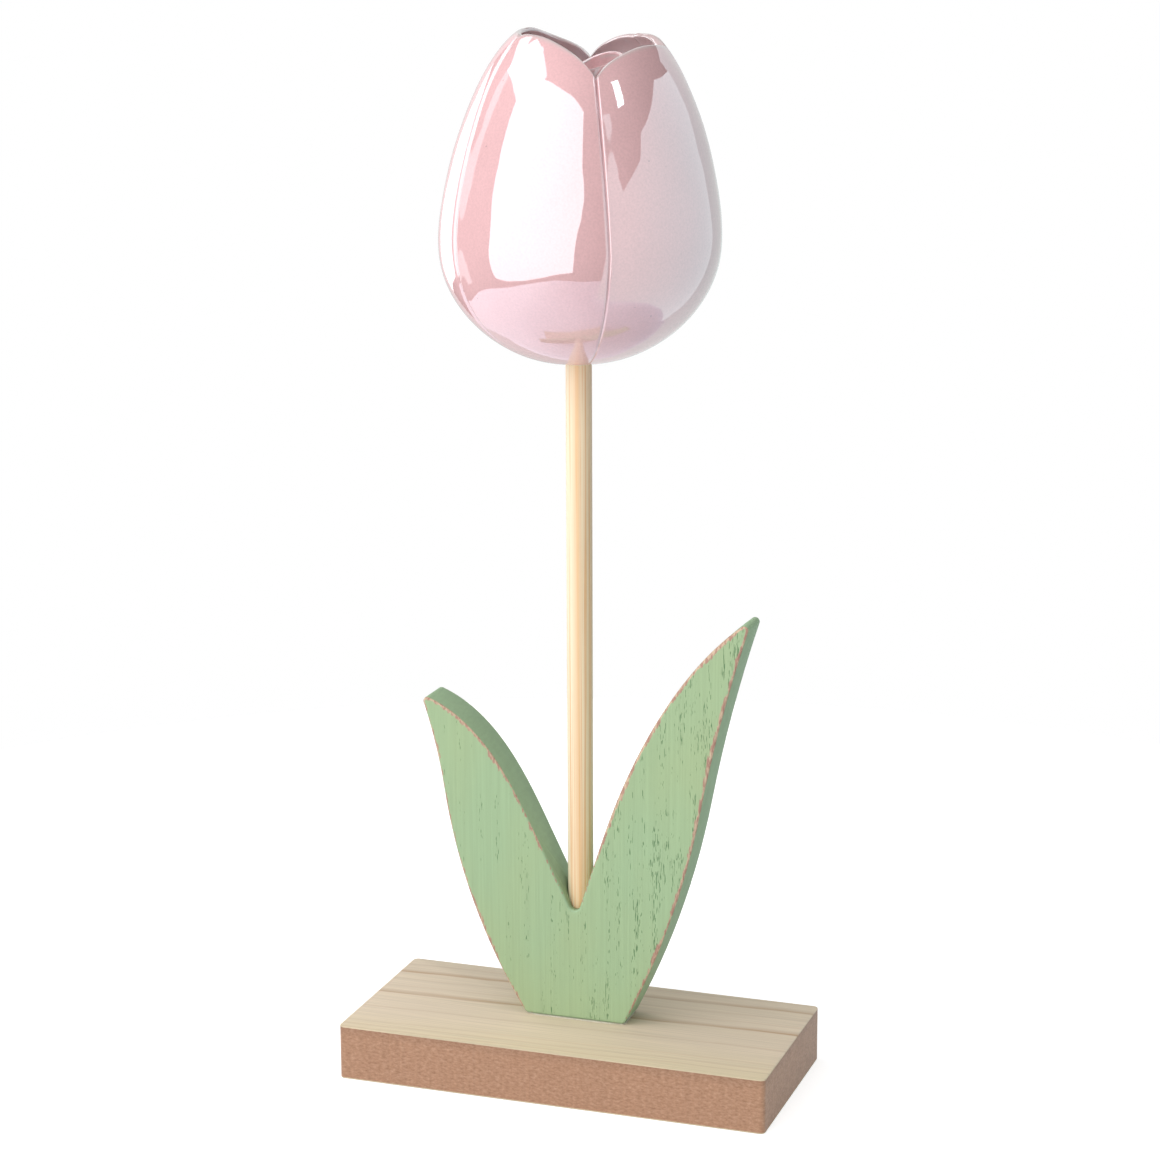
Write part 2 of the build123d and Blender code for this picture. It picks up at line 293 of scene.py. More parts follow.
class GlueSettings(PropertyGroup):
    """Sizes and colours of the glue and the screws."""

    bead_waviness: length("Bead waviness", "How unevenly the glue was squeezed out", 0.85)
    bead_rounding: length("Bead rounding", "Rounding of the bead's upper edge", 0.2)
    bead_roundness: share("Bead roundness", "Plan of the bead, from a box at 0 to an oval at 1", 0.22)
    clear_glue: colour("Clear glue", "Dried glue at the leaf's foot", "CDC8B4")
    hot_melt: colour("Hot melt", "Milky glue at the head", "EFEBE4")
    zinc: colour("Zinc", "Plated screws", "C9CCCE")


class StageSettings(PropertyGroup):
    """Camera, floor, room and light."""

    azimuth: angle("Azimuth", "Direction of the camera, from -Y towards +X", 19.15)
    elevation: angle("Elevation", "Height of the camera over the horizon", 13.3)
    roll: angle("Roll", "Turn of the camera about its own axis", -0.23)
    distance: length("Distance", "From the camera to its target", 665.0)
    target_aside: length("Target aside", "Place of the target along X", 0.31)
    target_height: length("Target height", "Height of the target", 114.75)
    lens: FloatProperty(name="Lens", description="Focal length in millimetres", default=93.72)
    floor_radius: length("Floor radius", "Radius of the round floor", 315.0)
    cool_floor: colour("Cool floor", "Tone of the floor as the glaze mirrors it", "D0CEDE")
    floor: colour("Floor", "White floor", "D6D6D6")
    room_radius: length("Room radius", "Radius of the dark room round the stage", 2000.0)
    back_opening: angle("Back opening", "Half angle of the room's open back", 23.0)
    sheet: colour("Sheet", "Cool white of the felt and the cards", "F1FCFC")
    ambient: FloatProperty(name="Ambient", description="Strength of the surround as light", default=0.25)


class TulipSettings(PropertyGroup):
    """All settings of the ornament."""

    flower: PointerProperty(type=FlowerSettings)
    stem: PointerProperty(type=StemSettings)
    leaf: PointerProperty(type=LeafSettings)
    base: PointerProperty(type=BaseSettings)
    glue: PointerProperty(type=GlueSettings)
    stage: PointerProperty(type=StageSettings)


# Modelling helpers


def start_clean():
    """Leaves edit mode and deselects everything, so that the next operator acts on its own piece alone."""
    if bpy.context.object and bpy.context.object.mode != "OBJECT":
        bpy.ops.object.mode_set(mode="OBJECT")
    bpy.ops.object.select_all(action="DESELECT")


def take(piece):
    """Makes one piece the only selected and active one."""
    start_clean()
    piece.select_set(True)
    bpy.context.view_layer.objects.active = piece


def pick(piece, kind, test):
    """Opens a piece in edit mode with only the vertices, edges or faces selected that pass a test."""
    take(piece)
    bpy.ops.object.mode_set(mode="EDIT")
    bpy.ops.mesh.select_mode(type=kind)
    bpy.ops.mesh.select_all(action="DESELECT")
    shape = bmesh.from_edit_mesh(piece.data)
    items = {"VERT": shape.verts, "EDGE": shape.edges, "FACE": shape.faces}[kind]
    for item in items:
        item.select_set(test(item))
    shape.select_flush_mode()
    bmesh.update_edit_mesh(piece.data)


def close_up(piece):
    """Merges doubles, turns all faces outwards and leaves edit mode."""
    pick(piece, "VERT", lambda vertex: True)
    bpy.ops.mesh.remove_doubles(threshold=MERGED)
    bpy.ops.mesh.normals_make_consistent(inside=False)
    bpy.ops.object.mode_set(mode="OBJECT")


def finish_with(piece, kind, **settings):
    """Adds a modifier with its settings and applies it."""
    take(piece)
    modifier = piece.modifiers.new(kind, kind)
    for name, value in settings.items():
        setattr(modifier, name, value)
    bpy.ops.object.modifier_apply(modifier=modifier.name)


def bore(piece, place, low_radius, high_radius, low, high):
    """Cuts an upright round hole, straight or tapered, out of a piece."""
    start_clean()
    centre = (place[0], place[1], (low + high) / 2)
    bpy.ops.mesh.primitive_cone_add(
        vertices=64, radius1=low_radius, radius2=high_radius, depth=high - low, location=centre
    )
    cutter = bpy.context.object
    finish_with(piece, "BOOLEAN", operation="DIFFERENCE", solver="EXACT", object=cutter)
    bpy.data.objects.remove(cutter)


def points_of(piece):
    """The places of a piece's vertices as rows of an array."""
    places = np.zeros(len(piece.data.vertices) * 3)
    piece.data.vertices.foreach_get("co", places)
    return places.reshape(-1, 3)


def move_points(piece, places):
    """Puts a piece's vertices at new places."""
    piece.data.vertices.foreach_set("co", np.ascontiguousarray(places, dtype=np.float32).ravel())
    piece.data.update()


def ripple(turn, waves):
    """A sum of waves round an axis, each with its count, its shift and its strength."""
    return sum(strength * np.sin(count * turn + shift) for count, shift, strength in waves)


def mark(piece, name, values):
    """Stores one number for each vertex, for a finish to read."""
    layer = piece.data.attributes.new(name, "FLOAT", "POINT")
    layer.data.foreach_set("value", np.asarray(values, dtype=np.float32))


def settle(piece, name, finish, slot, *nodes):
    """Names a finished piece, gives it its finish and ties it to the frame."""
    piece.name = name
    piece.data.name = name
    piece.data.materials.append(finish)
    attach(piece, "root")
    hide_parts(*nodes)
    start_clean()


# Finishes


def add_node(tree, kind, inputs=None, stops=None, **settings):
    """Adds a shader node with its settings, its ramp stops and its inputs, each a value or another output.

    Inputs of one name go by number: 1 to 4 are a range's limits, before and after, 6 and 7 a mix's colours.
    """
    made = tree.nodes.new("ShaderNode" + kind)
    for name, value in settings.items():
        setattr(made, name, value)
    if stops:
        elements = made.color_ramp.elements
        while len(elements) < len(stops):
            elements.new(1.0)
        for element, (place, value) in zip(elements, stops):
            element.position = place
            element.color = value
    for name, value in (inputs or {}).items():
        if isinstance(value, bpy.types.NodeSocket):
            tree.links.new(value, made.inputs[name])
        else:
            made.inputs[name].default_value = value
    return made


def start_material(name):
    """An empty node material and its tree."""
    material = bpy.data.materials.new(name)
    material.use_nodes = True
    material.node_tree.nodes.clear()
    return material, material.node_tree


def per_mm(*sizes):
    """Scales of a pattern whose marks have these sizes in millimetres along X, Y and Z."""
    return [1 / (size * MM) for size in sizes]


def rgba(value, gain=1.0):
    """A colour for a node's socket, dimmed or brightened by a gain."""
    return (*[min(channel * gain, 1) for channel in value], 1)


def grey(value):
    """A grey for a ramp stop or a socket."""
    return (value, value, value, 1)


def pearl_glaze(flower):
    """Slip-cast earthenware under a glossy pink glaze with a pearl lustre fired on: a hard wet shine with a
    faint pearly tint, a fine grain in the pink, paler on the lip and greyer where it pools in the furrows.
    Inside the pocket the pale lip glaze is mixed in too, as painted light that makes the pocket's shade
    paler."""
    material, tree = start_material("pearl_lustre_glaze")
    place = add_node(tree, "TexCoord").outputs["Object"]
    cloud_place = add_node(tree, "Mapping", {"Vector": place, "Scale": per_mm(26, 26, 34)}).outputs[0]
    cloud = add_node(tree, "TexNoise", {"Vector": cloud_place, "Scale": 1.0, "Detail": 2.0}).outputs["Fac"]
    body = add_node(
        tree, "ValToRGB", {"Fac": cloud},
        stops=[(0.3, rgba(flower.glaze, 0.93)), (0.7, rgba(flower.glaze, 1.05))],
    ).outputs["Color"]
    # The lustre's grain is finer than this, and is drawn as coarse as it needs to show
    grain_place = add_node(tree, "Mapping", {"Vector": place, "Scale": per_mm(0.45, 0.45, 0.45)}).outputs[0]
    grain = add_node(tree, "TexNoise", {"Vector": grain_place, "Scale": 1.0, "Detail": 2.0}).outputs["Fac"]
    grain_gain = add_node(tree, "MapRange", {"Value": grain, 1: 0.3, 2: 0.7, 3: 0.94, 4: 1.04}).outputs[0]
    body = add_node(tree, "VectorMath", {0: body, "Scale": grain_gain}, operation="SCALE").outputs[0]
    pooled = add_node(tree, "Attribute", attribute_name="furrow").outputs["Fac"]
    pooled_part = add_node(tree, "Math", {0: pooled, 1: 0.6}, operation="MULTIPLY").outputs[0]
    in_furrow = add_node(
        tree, "Mix", {0: pooled_part, 6: body, 7: rgba(flower.pooled_glaze)}, data_type="RGBA"
    ).outputs[2]
    # The lip mark also covers the pocket's inside, where the pale glaze is painted light that makes its shade
    # paler
    thin = add_node(tree, "Attribute", attribute_name="lip").outputs["Fac"]
    lip_and_pocket_light = add_node(
        tree, "Mix", {0: thin, 6: in_furrow, 7: rgba(flower.thin_glaze_and_pocket_light)}, data_type="RGBA"
    ).outputs[2]
    speck_place = add_node(tree, "Mapping", {"Vector": place, "Scale": per_mm(7, 7, 7)}).outputs[0]
    from_speck = add_node(tree, "TexVoronoi", {"Vector": speck_place, "Scale": 1.0}).outputs["Distance"]
    speck = add_node(tree, "MapRange", {"Value": from_speck, 1: 0.02, 2: 0.04, 3: 0.5, 4: 0.0}).outputs[0]
    colours = add_node(
        tree, "Mix", {0: speck, 6: lip_and_pocket_light, 7: rgba(flower.pooled_glaze, 0.5)}, data_type="RGBA"
    ).outputs[2]
    peel_place = add_node(tree, "Mapping", {"Vector": place, "Scale": per_mm(5, 5, 7)}).outputs[0]
    peel = add_node(tree, "TexNoise", {"Vector": peel_place, "Scale": 1.0, "Detail": 1.0}).outputs["Fac"]
    bump = add_node(tree, "Bump", {"Height": peel, "Strength": 1.0, "Distance": 0.05 * MM}).outputs[0]
    shader = add_node(
        tree, "BsdfPrincipled",
        {
            "Base Color": colours, "Roughness": 0.03, "IOR": 1.5, "Normal": bump,
            "Thin Film Thickness": flower.lustre_film, "Thin Film IOR": 2.1,
        },
    )
    add_node(tree, "OutputMaterial", {"Surface": shader.outputs[0]})
    return material


def sanded_bamboo(stem):
    """Bamboo, turned to a rod and sanded: straight fibres in cream, honey and tan with one broad honey
    streak, a silky low shine and fine grooves along the rod."""
    material, tree = start_material("sanded_bamboo")
    place = add_node(tree, "TexCoord").outputs["Object"]
    fibre_place = add_node(tree, "Mapping", {"Vector": place, "Scale": per_mm(0.75, 0.75, 150)}).outputs[0]
    fibres = add_node(
        tree, "TexNoise", {"Vector": fibre_place, "Scale": 1.0, "Detail": 3.0, "Roughness": 0.62}
    ).outputs["Fac"]
    colours = add_node(
        tree, "ValToRGB", {"Fac": fibres},
        stops=[
            (0.34, rgba(stem.honey)), (0.44, rgba(stem.cream)), (0.56, rgba(stem.cream)),
            (0.66, rgba(stem.honey)), (0.76, rgba(stem.tan)),
        ],
    ).outputs["Color"]
    aside = add_node(tree, "SeparateXYZ", {0: place}).outputs["X"]
    left, right = stem_axis.x - stem_radius, stem_axis.x + stem_radius
    across = add_node(tree, "MapRange", {"Value": aside, 1: left, 2: right}).outputs[0]
    streak = add_node(
        tree, "ValToRGB", {"Fac": across},
        stops=[
            (0.0, grey(0.1)), (0.3, grey(0)), (0.5, grey(0.45)),
            (0.62, grey(0.75)), (0.74, grey(0.2)), (1.0, grey(0.3)),
        ],
    ).outputs["Color"]
    colours = add_node(
        tree, "Mix", {0: streak, 6: colours, 7: rgba(stem.streak)}, data_type="RGBA"
    ).outputs[2]
    groove_place = add_node(tree, "Mapping", {"Vector": place, "Scale": per_mm(0.22, 0.22, 60)}).outputs[0]
    grooves = add_node(tree, "TexNoise", {"Vector": groove_place, "Scale": 1.0, "Detail": 2.0}).outputs["Fac"]
    shine = add_node(tree, "MapRange", {"Value": grooves, 3: 0.36, 4: 0.55}).outputs[0]
    bump = add_node(tree, "Bump", {"Height": grooves, "Strength": 0.6, "Distance": 0.06 * MM}).outputs[0]
    shader = add_node(
        tree, "BsdfPrincipled", {"Base Color": colours, "Roughness": shine, "IOR": 1.48, "Normal": bump}
    )
    add_node(tree, "OutputMaterial", {"Surface": shader.outputs[0]})
    return material


def rubbed_paint(leaf):
    """Matt green paint brushed over an open-pored veneer, with its edges rubbed back by sandpaper: upright
    dark pores in bands, a fine combed grain, smooth edges, and ragged lines of bare wood at the corners."""
    material, tree = start_material("rubbed_green_paint")
    place = add_node(tree, "TexCoord").outputs["Object"]
    face = add_node(tree, "Attribute", attribute_name="face").outputs["Fac"]
    rub = add_node(tree, "Attribute", attribute_name="rub").outputs["Fac"]

    broad_place = add_node(tree, "Mapping", {"Vector": place, "Scale": per_mm(22, 22, 45)}).outputs[0]
    broad = add_node(tree, "TexNoise", {"Vector": broad_place, "Scale": 1.0, "Detail": 2.0}).outputs["Fac"]
    painted = add_node(
        tree, "ValToRGB", {"Fac": broad}, stops=[(0.35, rgba(leaf.warm_paint)), (0.6, rgba(leaf.paint))]
    ).outputs["Color"]

    comb_place = add_node(tree, "Mapping", {"Vector": place, "Scale": per_mm(0.5, 2, 26)}).outputs[0]
    comb = add_node(tree, "TexNoise", {"Vector": comb_place, "Scale": 1.0, "Detail": 3.0}).outputs["Fac"]
    comb_gain = add_node(tree, "MapRange", {"Value": comb, 1: 0.3, 2: 0.7, 3: 0.95, 4: 1.04}).outputs[0]
    combed = add_node(
        tree, "Mix", {0: face, 6: rgba(leaf.edge_paint), 7: painted}, data_type="RGBA"
    ).outputs[2]
    combed = add_node(tree, "VectorMath", {0: combed, "Scale": comb_gain}, operation="SCALE").outputs[0]

    pore_place = add_node(tree, "Mapping", {"Vector": place, "Scale": per_mm(0.2, 1.5, 2.0)}).outputs[0]
    pores = add_node(tree, "TexNoise", {"Vector": pore_place, "Scale": 1.0, "Detail": 1.0}).outputs["Fac"]
    band_place = add_node(tree, "Mapping", {"Vector": place, "Scale": per_mm(2.2, 20, 30)}).outputs[0]
    bands = add_node(tree, "TexNoise", {"Vector": band_place, "Scale": 1.0, "Detail": 1.0}).outputs["Fac"]
    pore_limit = add_node(tree, "MapRange", {"Value": bands, 1: 0.42, 2: 0.66, 3: 0.76, 4: 0.57}).outputs[0]
    aside = add_node(tree, "SeparateXYZ", {0: place}).outputs["X"]
    left_side, right_side = -18 * MM, 10 * MM
    fewer = add_node(
        tree, "MapRange", {"Value": aside, 1: left_side, 2: right_side, 3: 0.09, 4: 0.01}
    ).outputs[0]
    pore_limit = add_node(tree, "Math", {0: pore_limit, 1: fewer}, operation="ADD").outputs[0]
    over_limit = add_node(tree, "Math", {0: pores, 1: pore_limit}, operation="SUBTRACT").outputs[0]
    open_pore = add_node(tree, "MapRange", {"Value": over_limit, 1: 0.0, 2: 0.05}).outputs[0]
    open_pore = add_node(tree, "Math", {0: open_pore, 1: face}, operation="MULTIPLY").outputs[0]
    pored = add_node(tree, "Mix", {0: open_pore, 6: combed, 7: rgba(leaf.pore)}, data_type="RGBA").outputs[2]

    rag_place = add_node(tree, "Mapping", {"Vector": place, "Scale": per_mm(0.45, 0.45, 1.9)}).outputs[0]
    rags = add_node(tree, "TexNoise", {"Vector": rag_place, "Scale": 1.0, "Detail": 4.0}).outputs["Fac"]
    run_place = add_node(tree, "Mapping", {"Vector": place, "Scale": per_mm(12, 12, 12)}).outputs[0]
    runs = add_node(tree, "TexNoise", {"Vector": run_place, "Scale": 1.0, "Detail": 1.0}).outputs["Fac"]
    ragged = add_node(tree, "Math", {0: rags, 1: runs}, operation="ADD").outputs[0]
    rubbed = add_node(tree, "Math", {0: ragged, 1: rub}, operation="ADD").outputs[0]
    paint_holds, paint_gone = 1.72, 1.8
    bare = add_node(tree, "MapRange", {"Value": rubbed, 1: paint_holds, 2: paint_gone}).outputs[0]
    bare_colour = add_node(
        tree, "ValToRGB", {"Fac": rags}, stops=[(0.42, rgba(leaf.bare_veneer)), (0.58, rgba(leaf.bare_board))]
    ).outputs["Color"]
    colours = add_node(tree, "Mix", {0: bare, 6: pored, 7: bare_colour}, data_type="RGBA").outputs[2]

    sunk = add_node(tree, "Math", {0: comb, 1: open_pore}, operation="SUBTRACT").outputs[0]
    bump = add_node(tree, "Bump", {"Height": sunk, "Strength": 0.7, "Distance": 0.08 * MM}).outputs[0]
    shader = add_node(
        tree, "BsdfPrincipled", {"Base Color": colours, "Roughness": 0.62, "IOR": 1.47, "Normal": bump}
    )
    add_node(tree, "OutputMaterial", {"Surface": shader.outputs[0]})
    return material


def sawn_fibreboard(base):
    """Raw fibreboard, sawn and lightly sanded: a felt of short brown and pink fibres with faint upright saw
    marks, denser and darker just under the top veneer, quite matt."""
    material, tree = start_material("sawn_fibreboard")
    place = add_node(tree, "TexCoord").outputs["Object"]
    felt_place = add_node(tree, "Mapping", {"Vector": place, "Scale": per_mm(1.1, 1.1, 0.5)}).outputs[0]
    felt = add_node(
        tree, "TexNoise", {"Vector": felt_place, "Scale": 1.0, "Detail": 5.0, "Roughness": 0.68}
    ).outputs["Fac"]
    fibres = add_node(
        tree, "ValToRGB", {"Fac": felt},
        stops=[(0.3, rgba(base.board_dark)), (0.5, rgba(base.board)), (0.72, rgba(base.board_pale))],
    ).outputs["Color"]
    saw_place = add_node(tree, "Mapping", {"Vector": place, "Scale": per_mm(0.7, 0.7, 40)}).outputs[0]
    saw = add_node(tree, "TexNoise", {"Vector": saw_place, "Scale": 1.0, "Detail": 2.0}).outputs["Fac"]
    saw_gain = add_node(tree, "MapRange", {"Value": saw, 1: 0.3, 2: 0.7, 3: 0.95, 4: 1.04}).outputs[0]
    height = add_node(tree, "SeparateXYZ", {0: place}).outputs["Z"]
    dense_depth = 2.2 * MM
    dense_gain = add_node(
        tree, "MapRange", {"Value": height, 1: base_top - dense_depth, 2: base_top, 3: 1.0, 4: 0.86}
    ).outputs[0]
    gain = add_node(tree, "Math", {0: saw_gain, 1: dense_gain}, operation="MULTIPLY").outputs[0]
    colours = add_node(tree, "VectorMath", {0: fibres, "Scale": gain}, operation="SCALE").outputs[0]
    bump = add_node(tree, "Bump", {"Height": felt, "Strength": 0.5, "Distance": 0.12 * MM}).outputs[0]
    shader = add_node(
        tree, "BsdfPrincipled",
        {"Base Color": colours, "Roughness": 0.85, "IOR": 1.45, "Normal": bump, "Sheen Weight": 0.36},
    )
    add_node(tree, "OutputMaterial", {"Surface": shader.outputs[0]})
    return material


def sanded_veneer(base):
    """Pale sliced veneer, sanded and left bare: straight fine fibres, a few soft brown growth lines that run
    the length of the base at a slight slant, a yellower band along the front, and a matt surface."""
    material, tree = start_material("sanded_pale_veneer")
    place = add_node(tree, "TexCoord").outputs["Object"]
    parts = add_node(tree, "SeparateXYZ", {0: place})
    sway_place = add_node(tree, "Mapping", {"Vector": place, "Scale": per_mm(30, 9, 9)}).outputs[0]
    sway = add_node(tree, "TexNoise", {"Vector": sway_place, "Scale": 1.0, "Detail": 3.0}).outputs["Fac"]
    sway_reach = 1.3 * MM
    sway_width = add_node(tree, "MapRange", {"Value": sway, 3: -sway_reach, 4: sway_reach}).outputs[0]
    slope = -0.036
    slant = add_node(tree, "Math", {0: parts.outputs["X"], 1: slope}, operation="MULTIPLY").outputs[0]
    across = add_node(tree, "Math", {0: parts.outputs["Y"], 1: slant}, operation="ADD").outputs[0]
    across = add_node(tree, "Math", {0: across, 1: sway_width}, operation="ADD").outputs[0]
    spread = add_node(tree, "MapRange", {"Value": across, 1: -VENEER_REACH, 2: VENEER_REACH}).outputs[0]
    stops = [(0.0, grey(0))]
    for centre, width, strength in GROWTH_LINES:
        for step, value in ((-0.3, 0), (0.0, strength), (1.0, 0)):
            line_place = 0.5 + (centre + step * width) * MM / (2 * VENEER_REACH)
            stops.append((line_place, grey(value)))
    lines = add_node(tree, "ValToRGB", {"Fac": spread}, stops=stops).outputs["Color"]

    fibre_place = add_node(tree, "Mapping", {"Vector": place, "Scale": per_mm(34, 0.36, 4)}).outputs[0]
    fibres = add_node(
        tree, "TexNoise", {"Vector": fibre_place, "Scale": 1.0, "Detail": 4.0, "Roughness": 0.65}
    ).outputs["Fac"]
    broken = add_node(tree, "MapRange", {"Value": fibres, 1: 0.35, 2: 0.65, 3: 0.2, 4: 1.0}).outputs[0]
    line_part = add_node(tree, "Math", {0: lines, 1: broken}, operation="MULTIPLY").outputs[0]
    yellow_from = -9 * MM
    yellowing = add_node(tree, "MapRange", {"Value": across, 1: yellow_from, 2: -VENEER_REACH}).outputs[0]
    bare = add_node(
        tree, "Mix", {0: yellowing, 6: rgba(base.veneer), 7: rgba(base.yellow_veneer)}, data_type="RGBA"
    ).outputs[2]
    lined = add_node(
        tree, "Mix", {0: line_part, 6: bare, 7: rgba(base.veneer_line)}, data_type="RGBA"
    ).outputs[2]
    gain = add_node(tree, "MapRange", {"Value": fibres, 1: 0.3, 2: 0.7, 3: 0.86, 4: 1.08}).outputs[0]
    colours = add_node(tree, "VectorMath", {0: lined, "Scale": gain}, operation="SCALE").outputs[0]
    bump = add_node(tree, "Bump", {"Height": fibres, "Strength": 0.4, "Distance": 0.06 * MM}).outputs[0]
    shader = add_node(
        tree, "BsdfPrincipled", {"Base Color": colours, "Roughness": 0.68, "IOR": 1.47, "Normal": bump}
    )
    add_node(tree, "OutputMaterial", {"Surface": shader.outputs[0]})
    return material


def dried_glue(name, tone, cloudiness):
    """Glue that has set in a bead: cloudy, a little see-through, with a soft uneven skin."""
    material, tree = start_material(name)
    place = add_node(tree, "TexCoord").outputs["Object"]
    cloud_place = add_node(tree, "Mapping", {"Vector": place, "Scale": per_mm(1.6, 1.6, 1.6)}).outputs[0]
    cloud = add_node(tree, "TexNoise", {"Vector": cloud_place, "Scale": 1.0, "Detail": 3.0}).outputs["Fac"]
    colours = add_node(
        tree, "ValToRGB", {"Fac": cloud}, stops=[(0.3, rgba(tone, 0.86)), (0.7, rgba(tone, 1.06))]
    ).outputs["Color"]
    bump = add_node(tree, "Bump", {"Height": cloud, "Strength": 0.4, "Distance": 0.08 * MM}).outputs[0]
    shader = add_node(
        tree, "BsdfPrincipled",
        {
            "Base Color": colours, "Roughness": 0.28, "IOR": 1.48, "Normal": bump,
            "Transmission Weight": 1 - cloudiness,
        },
    )
    add_node(tree, "OutputMaterial", {"Surface": shader.outputs[0]})
    return material


def zinc_plate(glue):
    """Steel screws with bright zinc plating: grey metal with a faint crystalline mottle and a satin shine."""
    material, tree = start_material("zinc_plated_steel")
    place = add_node(tree, "TexCoord").outputs["Object"]
    mottle_place = add_node(tree, "Mapping", {"Vector": place, "Scale": per_mm(0.7, 0.7, 0.7)}).outputs[0]
    mottle = add_node(tree, "TexNoise", {"Vector": mottle_place, "Scale": 1.0, "Detail": 4.0}).outputs["Fac"]
    colours = add_node(
        tree, "ValToRGB", {"Fac": mottle}, stops=[(0.3, rgba(glue.zinc, 0.8)), (0.7, rgba(glue.zinc))]
    ).outputs["Color"]
    shine = add_node(tree, "MapRange", {"Value": mottle, 3: 0.26, 4: 0.44}).outputs[0]
    shader = add_node(tree, "BsdfPrincipled", {"Base Color": colours, "Metallic": 1.0, "Roughness": shine})
    add_node(tree, "OutputMaterial", {"Surface": shader.outputs[0]})
    return material


def white_floor(stage):
    """A white paper floor that takes the ornament's shadow. Where it is looked at or mirrored, a little light
    of its own lifts it towards white, in the mirrored floor more on the left than on the right."""
    material, tree = start_material("white_paper_floor")
    path = add_node(tree, "LightPath").outputs
    mirrored = add_node(
        tree, "Math", {0: path["Is Glossy Ray"], 1: path["Is Transmission Ray"]}, operation="MAXIMUM"
    ).outputs[0]
    place = add_node(tree, "TexCoord").outputs["Object"]
    aside = add_node(tree, "SeparateXYZ", {0: place}).outputs["X"]
    left_edge, right_edge = -120 * MM, 60 * MM
    left_lift, right_lift, seen_lift = 0.5, 0.02, 0.6
    side_lift = add_node(
        tree, "MapRange", {"Value": aside, 1: left_edge, 2: right_edge, 3: left_lift, 4: right_lift}
    ).outputs[0]
    mirrored_lift = add_node(tree, "Math", {0: mirrored, 1: side_lift}, operation="MULTIPLY").outputs[0]
    lift = add_node(
        tree, "Math", {0: path["Is Camera Ray"], 1: seen_lift, 2: mirrored_lift}, operation="MULTIPLY_ADD"
    ).outputs[0]
    tooth_place = add_node(tree, "Mapping", {"Vector": place, "Scale": per_mm(1.5, 1.5, 1.5)}).outputs[0]
    tooth = add_node(tree, "TexNoise", {"Vector": tooth_place, "Scale": 1.0, "Detail": 2.0}).outputs["Fac"]
    colours = add_node(
        tree, "ValToRGB", {"Fac": tooth}, stops=[(0.3, rgba(stage.floor, 0.98)), (0.7, rgba(stage.floor))]
    ).outputs["Color"]
    shown = add_node(
        tree, "Mix", {0: mirrored, 6: colours, 7: rgba(stage.cool_floor)}, data_type="RGBA"
    ).outputs[2]
    paper = add_node(tree, "BsdfDiffuse", {"Color": shown})
    glow = add_node(tree, "Emission", {"Color": grey(1), "Strength": lift})
    both = add_node(tree, "AddShader", {0: paper.outputs[0], 1: glow.outputs[0]})
    add_node(tree, "OutputMaterial", {"Surface": both.outputs[0]})
    return material


def studio_sheet(stage, name, front_tone, back_tone, as_light):
    """Felt or card round the ornament: a mirrored tone in the shiny glaze, and a low light that fills the
    shade at the foot and fades upwards."""
    material, tree = start_material(name)
    place = add_node(tree, "TexCoord").outputs["Object"]
    cloud_place = add_node(tree, "Mapping", {"Vector": place, "Scale": per_mm(333, 333, 333)}).outputs[0]
    cloud = add_node(tree, "TexNoise", {"Vector": cloud_place, "Scale": 1.0, "Detail": 1.0}).outputs["Fac"]
    mottle = add_node(tree, "MapRange", {"Value": cloud, 3: 0.9, 4: 1.1}).outputs[0]
    parts = add_node(tree, "SeparateXYZ", {0: place}).outputs
    front_edge, back_edge = -130 * MM, 130 * MM
    fading = add_node(
        tree, "MapRange", {"Value": parts["Y"], 1: front_edge, 2: back_edge, 3: front_tone, 4: back_tone}
    ).outputs[0]
    tone = add_node(tree, "Math", {0: mottle, 1: fading}, operation="MULTIPLY").outputs[0]
    mirrored = add_node(tree, "LightPath").outputs["Is Glossy Ray"]
    low_edge, high_edge = 12 * MM, 60 * MM
    falling = add_node(
        tree, "MapRange", {"Value": parts["Z"], 1: low_edge, 2: high_edge, 3: as_light, 4: 0.2 * as_light}
    ).outputs[0]
    strength = add_node(tree, "Mix", {0: mirrored, 2: falling, 3: tone}, data_type="FLOAT").outputs[0]
    shader = add_node(tree, "Emission", {"Color": rgba(stage.sheet), "Strength": strength})
    add_node(tree, "OutputMaterial", {"Surface": shader.outputs[0]})
    return material


# The flower head's form


def softened(distance, rounding):
    """A distance whose sharp turn at zero is rounded off."""
    return np.sqrt(distance * distance + rounding * rounding) - rounding


def cubic(start, first_handle, second_handle, end, steps):
    """Points along a cubic curve."""
    t = np.linspace(0, 1, steps + 1)[:, None]
    weights = ((1 - t) ** 3, 3 * t * (1 - t) ** 2, 3 * t * t * (1 - t), t ** 3)
    handles = (start, first_handle, second_handle, end)
    return sum(weight * np.array(handle) for weight, handle in zip(weights, handles))


